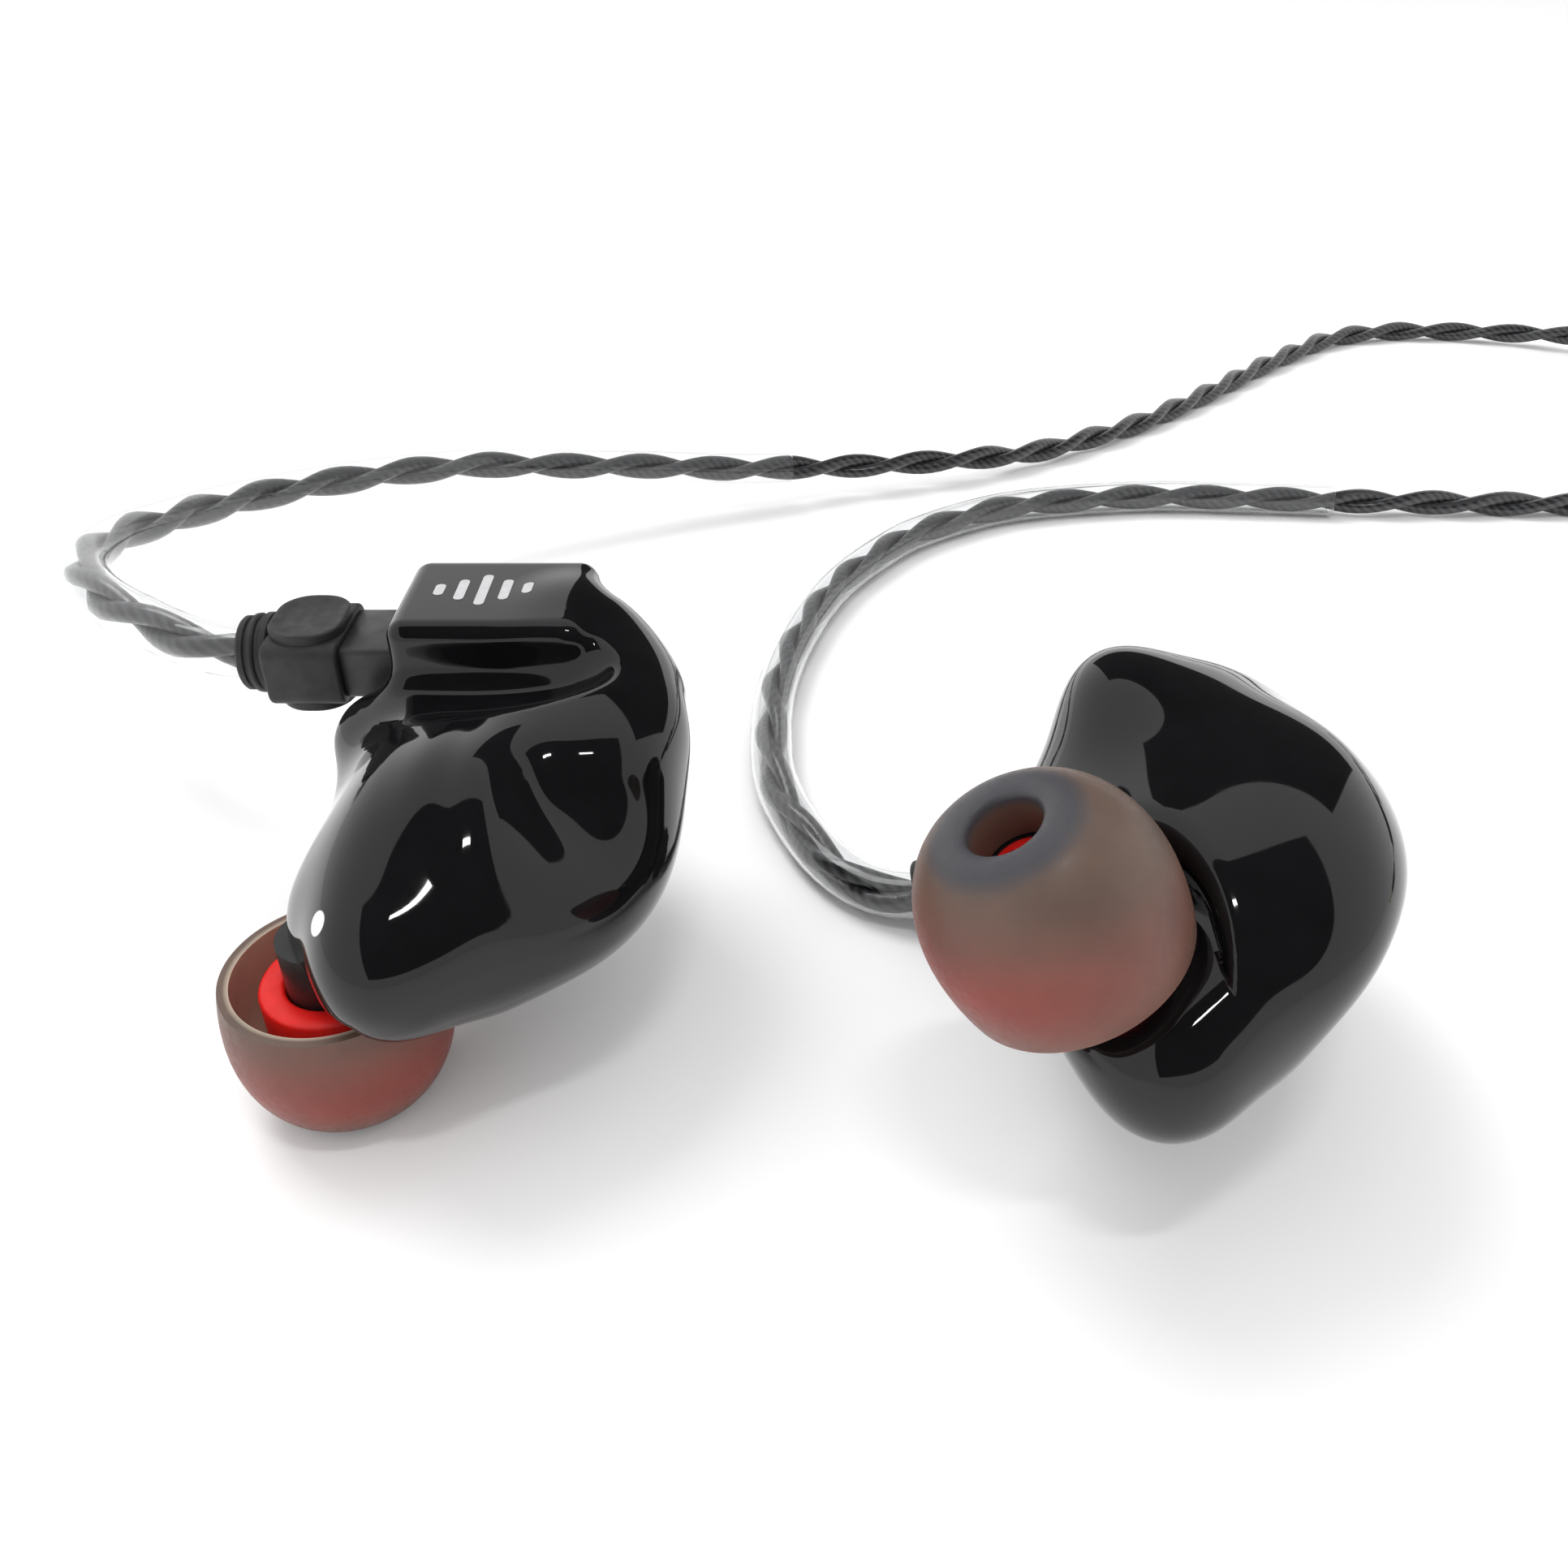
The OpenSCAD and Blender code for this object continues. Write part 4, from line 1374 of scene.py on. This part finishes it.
def tube(name: str, curve: Array, radius: float, sides: int, bore: float = 0.0) -> Obj:
    """Round tube along a curve, closed at its ends.

    Args:
        name: The piece's name.
        curve: Points along the middle.
        radius: Outer radius.
        sides: Faces around.
        bore: Inner radius, or nothing for a solid rod.

    Returns:
        The tube, with a UV map that runs around and along it.
    """
    across, up = frames_along(curve)
    turn = np.linspace(0, 2 * math.pi, sides, endpoint=False)
    around = (np.cos(turn)[None, :, None] * across[:, None]
              + np.sin(turn)[None, :, None] * up[:, None])
    walls = [radius, bore] if bore else [radius]
    points = np.concatenate([(curve[:, None] + r * around).reshape(-1, 3) for r in walls])
    wall_size, last = len(curve) * sides, (len(curve) - 1) * sides

    def strip(first: int, second: int) -> list[list[int]]:
        """Quads between the two rings that start at these points."""
        pairs = zip(range(sides), [*range(1, sides), 0])
        return [[first + j, first + k, second + k, second + j] for j, k in pairs]

    faces: list[list[int]] = []
    for wall, way in enumerate((1, -1)[:len(walls)]):
        for start in range(wall * wall_size, wall * wall_size + last, sides):
            faces += [quad[::way] for quad in strip(start, start + sides)]
    if bore:
        faces += [quad[::-1] for quad in strip(0, wall_size)] + strip(last, wall_size + last)
    else:
        faces += [list(range(sides))[::-1], list(range(last, last + sides))]
    obj = mesh_object(name, points, faces)
    pick(obj)
    bpy.ops.object.mode_set(mode="EDIT")
    bpy.ops.mesh.select_all(action="SELECT")
    bpy.ops.mesh.normals_make_consistent(inside=False)
    bpy.ops.object.mode_set(mode="OBJECT")
    lay = obj.data.uv_layers.new(name="lay")
    run = run_of(curve)
    for loop in obj.data.loops:
        i, j = divmod(loop.vertex_index % wall_size, sides)
        lay.data[loop.index].uv = (j / sides * LAY_AROUND, run[i] / LAY_LENGTH)
    smooth(obj, 50)
    return obj


@dataclass
class TwistedCable:
    """Two jacketed strands laid round each other."""

    diameter: float = 2.4
    strand: float = 0.62
    pitch: float = 14.5
    sides: int = 10

    def build(self, name: str, curve: Array, phase: float = 0.0) -> Obj:
        """Both strands along a curve, as one piece in metres.

        Args:
            name: The piece's name.
            curve: Middle of the cable, in millimetres.
            phase: Turn of the strands at the start, in degrees.

        Returns:
            The piece, in its place.
        """
        across, up = frames_along(curve)
        run = run_of(curve)
        offset = self.diameter / 2 - self.strand
        strands = []
        for k in (0, 1):
            turn = 2 * math.pi * run / self.pitch + math.pi * k + math.radians(phase)
            middle = curve + offset * (np.cos(turn)[:, None] * across
                                       + np.sin(turn)[:, None] * up)
            strands.append(tube(f"{name}_{k}", middle, self.strand, self.sides))
        obj = join(strands, name)
        settle(obj, TO_METRES)
        return obj


@dataclass
class Leads:
    """The two leads from the plugs to the splitter, and their ear hooks."""

    plug: TwoPinPlug = field(default_factory=TwoPinPlug)
    hook_seat: float = 1.15
    hook_diameter: float = 3.0
    hook_bore: float = 2.6
    hook_rings: int = 16
    hook_step: float = 1.2
    hook_sides: int = 40
    first_turns: Pair = (20, 80)
    straight: float = 3
    lead_length: float = 0.272
    lead_pitch: float = 2.9
    bundle_y: float = 117.0
    bundle_z: float = 3.0
    bundle_x: tuple[float, ...] = (112, 120, 128, 136, 144, 153.95)
    left_route: tuple[Point, ...] = (
        (-33.4, 13.6, 16.1), (-37.2, 16, 16.2), (-41.5, 19.6, 16.2), (-45, 25.1, 15.6),
        (-46, 31.6, 14.6), (-45, 38.1, 13.2), (-43, 44.6, 11.8), (-39.5, 50.6, 10.6),
        (-34, 56.6, 9.4), (-27.5, 61.6, 8.2), (-20, 65.1, 6.8), (-12.5, 68.1, 5.6),
        (-5, 70.6, 4.4), (0.5, 72.4, 3.8), (5, 74.2, 3.2), (11, 75.9, 2.8),
        (19.6, 78.8, 2.3), (26.5, 82.6, 1.6), (33, 87.1, 1.4), (39.4, 92.3, 1.2),
        (45.5, 98.1, 1.2), (51.8, 104.7, 1.2), (59, 112.6, 1.2), (65.5, 119.1, 1.2),
        (72.4, 125.1, 1.2), (80.5, 128.1, 1.2), (89.5, 128.1, 1.2), (98, 125.6, 1.6),
        (105, 121.6, 2.4))
    right_route: tuple[Point, ...] = (
        (5.3, 9.4, 1.55), (2.9, 12, 1.5), (1, 15.9, 1.5), (-0.4, 20.4, 1.5),
        (-0.9, 25.6, 1.5), (-0.55, 33.4, 1.5), (1.2, 41.8, 1.5), (4.2, 50.3, 1.5),
        (8.3, 57.1, 1.5), (12.9, 62.4, 1.5), (21.8, 68, 1.5), (34.6, 70.6, 1.5),
        (45, 70.3, 1.5), (53.4, 69.6, 1.5), (62, 69.5, 1.4), (70, 69.6, 1.2),
        (76.6, 69.5, 1.2), (86, 68.6, 1.2), (95.5, 67.1, 1.2), (105, 67.6, 1.2),
        (113, 71.6, 1.2), (117.5, 79.6, 1.2), (115, 88.1, 1.2), (107.5, 93.1, 1.2),
        (101, 98.1, 1.2), (98.5, 105.6, 1.6), (103, 113.6, 2.4))

    def route(self, side: Side) -> list[Point]:
        """Points of one lead, from inside the plug's head to the splitter.

        Args:
            side: The lead's monitor.

        Returns:
            The points, in millimetres.
        """
        start = self.plug.stand_out + self.plug.head_length - self.hook_seat
        place = Placement(side)
        x, y, z = self.plug.mouth
        first = [place.point((x - out, y, z)) for out in (start, start + self.straight)]
        middle = self.left_route if side is Side.LEFT else self.right_route
        shift = self.lead_pitch / 2 * (1 if side is Side.LEFT else -1)
        return [*first, *middle,
                *((x, self.bundle_y + shift, self.bundle_z) for x in self.bundle_x)]

    def build(self, nodes: Nodes) -> None:
        """Builds and dresses both leads and hooks.

        Args:
            nodes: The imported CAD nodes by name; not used.
        """
        for side, turn in zip(Side, self.first_turns):
            key = side.value
            route = self.route(side)
            curve = smooth_route(route)
            obj = TwistedCable().build(f"{key}_twisted_lead", curve, turn)
            fit(obj, "cable", "cable_jacket", CABLE_JACKET, f"{key}_lead")
            hook_curve = smooth_route(route[:self.hook_rings], self.hook_step)
            hook = tube(f"{key}_hook_tube", hook_curve, self.hook_diameter / 2, self.hook_sides,
                        self.hook_bore / 2)
            settle(hook, TO_METRES)
            fit(hook, "cable", "hook_clear", HOOK_TUBE, f"{key}_ear_hook")


@dataclass
class MainCable:
    """Cable from the splitter through its coil to the jack."""

    splitter_end: Point = (160.05, 117.0, 3.0)
    split_route: tuple[Point, ...] = (
        (164, 117, 3), (170, 116, 2.4), (174, 112, 1.6), (174.5, 106, 1.2), (172.5, 99, 1.2),
        (169.4, 92, 1.2), (168.85, 86.5, 1.2))
    coil_at: Pair = (150.0, 85.0)
    radii: tuple[float, ...] = (16.4, 14.0, 11.6)
    levels: tuple[float, ...] = (1.2, 3.6, 6.0)
    turns: tuple[tuple[int, int], ...] = (
        (0, 0), (1, 0), (2, 0), (2, 1), (2, 2), (1, 2), (1, 1), (0, 1), (0, 2))
    last_route: tuple[Point, ...] = (
        (167.5, 83.8, 5.6), (169.2, 81.6, 4.4), (170.3, 79.0, 2.9), (170.8, 76.4, 1.9),
        (170.6, 73.6, 1.8), (170.1, 70.6, 2.6), (170, 66, 3.9), (170, 56.05, 3.9))
    per_turn: int = 24  # points to a turn
    change: int = 5     # points in which a turn passes to the next one's place
    lead_in: int = 4    # points in which the first turn comes in from outside
    lead_out: float = 2.45
    length: float = 0.875

    def route(self) -> list[Point]:
        """Points from the splitter, through nine turns, to the jack's relief.

        Returns:
            The points, in millimetres.
        """
        points: list[Point] = [self.splitter_end, *self.split_route]
        for k, (col, row) in enumerate(self.turns):
            nxt = self.turns[min(k + 1, len(self.turns) - 1)]
            for i in range(0 if k else 1, self.per_turn):
                past = share((i - (self.per_turn - self.change)) / self.change)
                past = past * past * (3 - 2 * past)
                radius = self.radii[col] + past * (self.radii[nxt[0]] - self.radii[col])
                level = self.levels[row] + past * (self.levels[nxt[1]] - self.levels[row])
                if k == 0 and i < self.lead_in:
                    radius += self.lead_out * (1 - i / self.lead_in) ** 2
                turn = -2 * math.pi * i / self.per_turn
                points.append((self.coil_at[0] + radius * math.cos(turn),
                               self.coil_at[1] + radius * math.sin(turn), level))
        return points + list(self.last_route)

    def build(self, jack_nodes: Sequence[Obj]) -> None:
        """Args:
            jack_nodes: The pieces of the jack plug on its end; not used.
        """
        curve = smooth_route(self.route(), 1.0)
        cable = TwistedCable(pitch=13, sides=8)
        obj = cable.build("main_twisted_cable", curve)
        fit(obj, "cable", "cable_jacket", CABLE_JACKET, "main_cable", "main_coil")


@dataclass
class Splitter:
    """Barrel in which the two leads meet the main cable."""

    at: Point = (150.0, 117.0, 3.0)
    diameter: float = 6.0
    length: float = 14.0
    taper: float = 4.0
    bore: float = 2.44
    bore_length: float = 8.0
    tail_wall: float = 1.6
    ribs: int = 3
    pitch: float = 2.9

    def build(self) -> Obj:
        """Turned barrel with stress ribs on its taper and three bores.

        Returns:
            The piece.
        """
        r, end = self.diameter / 2, self.length
        tail = (self.bore + self.tail_wall) / 2
        start = end - self.taper
        profile = [(r - 0.45, 0), (r - 0.12, 0.15), (r, 0.5), (r, 1.6), (r - 0.18, 1.8),
                   (r - 0.18, 2.1), (r, 2.3), (r, start - 0.4)]
        for i in range(self.ribs):
            z = start + i * self.taper / self.ribs
            here = r - (r - tail) * i / self.ribs
            profile += [(here, z), (here - 0.12, z + 0.55), (here - 0.5, z + 0.7),
                        (here - 0.5, z + 1.05)]
        profile += [(tail, end - 0.15), (tail - 0.15, end)]
        obj = lathe("splitter_barrel", profile, 64)
        settle(obj, Matrix.Translation(self.at) @ Matrix.Rotation(math.pi / 2, 4, "Y"))
        x, y, z = self.at
        for out, shift in ((0.0, -self.pitch / 2), (0.0, self.pitch / 2), (self.length, 0.0)):
            bore_along_x(obj, (x + out, y + shift, z), self.bore / 2, self.bore_length)
        smooth(obj, 30)
        settle(obj, TO_METRES)
        return fit(obj, "cable", "cable_jacket", SOFT_OVERMOULD, "y_splitter")


@dataclass
class ChinSlider:
    """Slider that gathers the two leads under the chin."""

    at: Point = (134.0, 117.0, 3.0)
    length: float = 7.0
    width: float = 7.6
    height: float = 5.6
    bore: float = 2.6
    pitch: float = 2.9

    def build(self) -> Obj:
        """Rounded block with a bore for each lead.

        Returns:
            The piece.
        """
        x, y, z = self.at
        obj = block_piece("slider_block", (x, y - self.width / 2, z - self.height / 2),
                          (x + self.length, y + self.width / 2, z + self.height / 2))
        round_edges_along(obj, 0, 1.2, 6)
        soften(obj, 0.45, 4)
        for shift in (-self.pitch / 2, self.pitch / 2):
            bore_along_x(obj, (x + self.length / 2, y + shift, z), self.bore / 2,
                         self.length + 4)
        smooth(obj, 30)
        settle(obj, TO_METRES)
        return fit(obj, "slider", "cable_jacket", SOFT_OVERMOULD, "cable_slider")


@dataclass
class CoilTie:
    """Strap that holds the coil together."""

    at: Point = (150.0, 99.0, 3.6)
    width: float = 5.0
    inner: Pair = (7.2, 7.2)
    wall: float = 0.6

    def build(self) -> Obj:
        """Band round the coil with a folded tab on its outer side.

        Returns:
            The piece.
        """
        x, y, z = self.at
        deep, tall = self.inner[0] / 2 + self.wall, self.inner[1] / 2
        band = block_piece("coil_strap", (x - self.width / 2, y - deep, z - tall),
                           (x + self.width / 2, y + deep, z + tall))
        round_edges_along(band, 0, 1.3, 6)
        hole = block_piece("coil_strap_hole",
                           (x - self.width, y - deep + self.wall, z - tall + self.wall),
                           (x + self.width, y + deep - self.wall, z + tall - self.wall))
        round_edges_along(hole, 0, 0.8, 6)
        cut(band, hole)
        soften(band, 0.12, 2)
        tab = block_piece("coil_strap_tab", (x - 1.9, y + deep - 0.05, z - 2.2),
                          (x + 1.9, y + deep + 0.5, z + 2.4))
        round_edges_along(tab, 1, 0.9, 6)
        soften(tab, 0.15, 2)
        obj = join([band, tab], "coil_strap")
        smooth(obj, 30)
        settle(obj, TO_METRES)
        return fit(obj, "cable", "tie_strap", STRAP_WEAVE, "cable_tie")


@dataclass
class JackPlug:
    """3.5 mm jack with a ringed grip and a stepped strain relief."""

    at: Point = (170.0, 60.0, 3.9)
    jack: float = 3.5
    length: float = 14.0
    housing: float = 7.8
    housing_length: float = 17.0
    relief_length: float = 12.0
    cable: float = 2.44
    sleeve_end: float = 6.2
    ring_end: float = 9.6
    band: float = 0.5
    relief_ribs: int = 5
    grip_rings: int = 4
    first_rib: float = 1.2
    rib_pitch: float = 2
    relief_groove: tuple[Pair, ...] = (
        (0, 0), (0, 0.9), (0.35, 1.05), (0.35, 1.55))
    grip_groove: tuple[Pair, ...] = (
        (0, 0), (0.22, 0.25), (0.35, 0.5), (0.35, 1.0), (0.22, 1.25), (0, 1.5))
    tip_steps: tuple[Pair, ...] = (
        (0.5, 0), (0.36, 0.06), (0.36, 0.35), (0.12, 0.85), (0, 1.15), (0, 1.6), (0.35, 2.2),
        (0.95, 3.1), (1.25, 3.6))

    def _turned(self, name: str, profile: Profile, slot: str, finish: Finish, node: str,
                sides: int = 56, ring: bool = False, angle: float = 30) -> Obj:
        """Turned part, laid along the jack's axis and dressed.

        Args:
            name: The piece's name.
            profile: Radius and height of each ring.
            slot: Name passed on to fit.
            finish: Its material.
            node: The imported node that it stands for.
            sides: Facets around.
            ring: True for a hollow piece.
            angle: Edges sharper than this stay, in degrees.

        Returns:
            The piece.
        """
        obj = lathe(name, profile, sides, ring)
        smooth(obj, angle)
        settle(obj, TO_METRES @ Matrix.Translation(self.at)
               @ Matrix.Rotation(math.pi / 2, 4, "X"))
        return fit(obj, "cable", slot, finish, node)

    def build(self, nodes: Nodes) -> list[Obj]:
        """Builds and dresses the jack's pieces.

        Args:
            nodes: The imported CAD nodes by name.

        Returns:
            The pieces on the cable's end.
        """
        relief, r = self.relief_length, self.housing / 2
        thin, wide = (self.cable + 1.16) / 2, r - 1
        profile = [(self.cable / 2, 0.02), (thin, 0)]
        for i in range(self.relief_ribs):
            z = self.first_rib + i * self.rib_pitch
            here = thin + (wide - thin) * z / relief
            profile += [(here - inward, z + up) for inward, up in self.relief_groove]
        profile += [(wide, relief - 0.4), (wide, relief), (self.cable / 2, relief)]
        made = [self._turned("jack_relief", [*profile, profile[0]], "jack_black",
                             SOFT_OVERMOULD, "jack_strain_relief", ring=True)]

        end = relief + self.housing_length
        profile = [(r - 0.9, relief), (r - 0.25, relief + 0.12), (r, relief + 0.5),
                   (r, relief + 3.4)]
        for i in range(self.grip_rings):
            z = relief + 4 + self.rib_pitch * i
            profile += [(r - inward, z + up) for inward, up in self.grip_groove]
        profile += [(r, end - 1.5), (r - 0.15, end - 1.1), (self.jack / 2 + 1.1, end - 0.1),
                    (self.jack / 2 + 0.9, end)]
        made.append(self._turned("jack_grip", profile, "jack_black", PLUG_PLASTIC,
                                 "jack_housing", 72))

        half = self.jack / 2
        for start, stop, part in ((0.0, self.sleeve_end, "sleeve"),
                                  (self.sleeve_end + self.band, self.ring_end, "ring")):
            made.append(self._turned(f"jack_{part}_plating", [
                (half - 0.12, end + start), (half, end + start + 0.1),
                (half, end + stop - 0.1), (half - 0.12, end + stop)],
                "pin_gold", GOLD, f"jack_{part}"))
        start = end + self.ring_end + self.band
        cone = self.length - self.ring_end - self.band
        profile = [(half - inward, start + up) for inward, up in (
            *self.tip_steps, (1.45, cone - 0.08), (1.62, cone))]
        made.append(self._turned("jack_tip_plating", profile, "pin_gold", GOLD, "jack_tip",
                                 angle=40))
        NOZZLE_PLASTIC.paint(nodes["jack_insulators"])
        return [*made, nodes["jack_insulators"]]


# ---------------------------------------------------------------- studio
@dataclass
class Studio:
    """Camera, pale table and soft light."""

    camera_at: Point = (0.0, -0.0539, 0.0528)
    tilt: float = 55.5
    lens: float = 30.745
    sensor: float = 36
    nearest: float = 0.005
    table_size: float = 6
    table_drop: float = 0.02 * MM
    fill: float = 0.95
    middle: Point = (0, 0, 0.01)

    @staticmethod
    def _stand(obj: Obj, at: Point, target: Point, axis: str) -> None:
        """Puts a lamp or card in its place, with its axis towards the target."""
        obj.location = at
        obj.rotation_euler = (Vector(target) - Vector(at)).to_track_quat(axis, "Y").to_euler()

    def camera(self) -> None:
        """Looks down on the pair from in front."""
        data = bpy.data.cameras.new("camera")
        data.lens, data.sensor_width, data.clip_start = self.lens, self.sensor, self.nearest
        camera = bpy.data.objects.new("camera", data)
        camera.location = self.camera_at
        camera.rotation_euler = (math.radians(self.tilt), 0, 0)
        bpy.context.scene.collection.objects.link(camera)
        bpy.context.scene.camera = camera

    def table(self) -> None:
        """Large pale table top."""
        deselect()
        bpy.ops.mesh.primitive_plane_add(size=self.table_size,
                                         location=(0, 0, -self.table_drop))
        top = named("table_top")
        TABLE_PAINT.paint(top)

    def world(self) -> None:
        """Even pale surroundings, white to the camera, in gloss and through clear parts."""
        world = bpy.data.worlds.new("surroundings")
        bpy.context.scene.world = world
        board = Board(world, "Background")
        rays = board.add("ShaderNodeLightPath").outputs
        seen = rays["Is Camera Ray"]
        for ray in ("Is Glossy Ray", "Is Transmission Ray"):
            seen = board.add("ShaderNodeMath", {0: seen, 1: rays[ray]},
                             operation="MAXIMUM").outputs["Value"]
        board.set(Color=(1, 1, 1, 1), Strength=board.spread(seen, self.fill, 1, 0, 1))

    def lamp(self, name: str, at: Point, target: Point, size: Pair,
             power: float, glint: bool = True) -> None:
        """Rectangular soft lamp, mirrored in gloss only where glint says so.

        Args:
            name: The lamp's name.
            at: Its place, in metres.
            target: What it faces.
            size: Width and height.
            power: Watts.
            glint: True if gloss mirrors it.
        """
        data = bpy.data.lights.new(name, "AREA")
        data.shape, data.size, data.size_y, data.energy = "RECTANGLE", *size, power
        lamp = bpy.data.objects.new(name, data)
        lamp.visible_glossy = glint
        self._stand(lamp, at, target, "-Z")
        bpy.context.scene.collection.objects.link(lamp)

    def card(self, name: str, at: Point, target: Point, size: Pair) -> None:
        """Dark card that only shows in reflections.

        Args:
            name: The card's name.
            at: Its place, in metres.
            target: What it faces.
            size: Width and height.
        """
        deselect()
        bpy.ops.mesh.primitive_plane_add(size=1)
        card = named(name)
        card.scale = (*size, 1)
        self._stand(card, at, target, "Z")
        CARD_PAINT.paint(card)
        card.visible_camera = card.visible_diffuse = card.visible_shadow = False
        card.visible_transmission = False

    def light(self) -> None:
        """Key softbox, a small strip for the sparkle, and dark cards."""
        self.lamp("softbox", (-0.25, 0.25, 0.55), (0, 0.03, 0), (0.3, 0.3), 1.6, glint=False)
        self.lamp("strip_front", (0.014, -0.084, 0.297), self.middle, (0.063, 0.013), 0.12)
        self.card("card_front", (0.05, -0.20, 0.27), self.middle, (0.5, 0.6))
        self.card("card_back", (0.043, 0.085, 0.072), (0.01, 0, 0.01), (0.14, 0.09))


def main() -> None:
    """Loads the frame and builds the object's pieces in order."""
    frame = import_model()
    bpy.context.scene.view_settings.view_transform = "Standard"
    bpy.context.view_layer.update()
    nodes = frame["nodes"]
    studio = Studio()
    studio.camera()
    jack = JackPlug().build(nodes)
    Splitter().build()
    ChinSlider().build()
    CoilTie().build()
    Leads().build(nodes)
    MainCable().build(jack)
    for side in Side:
        Monitor(side).build(nodes)
    studio.table()
    studio.world()
    studio.light()


if __name__ == "__main__":
    logging.basicConfig(level=logging.INFO, format="%(name)s: %(message)s")
    main()
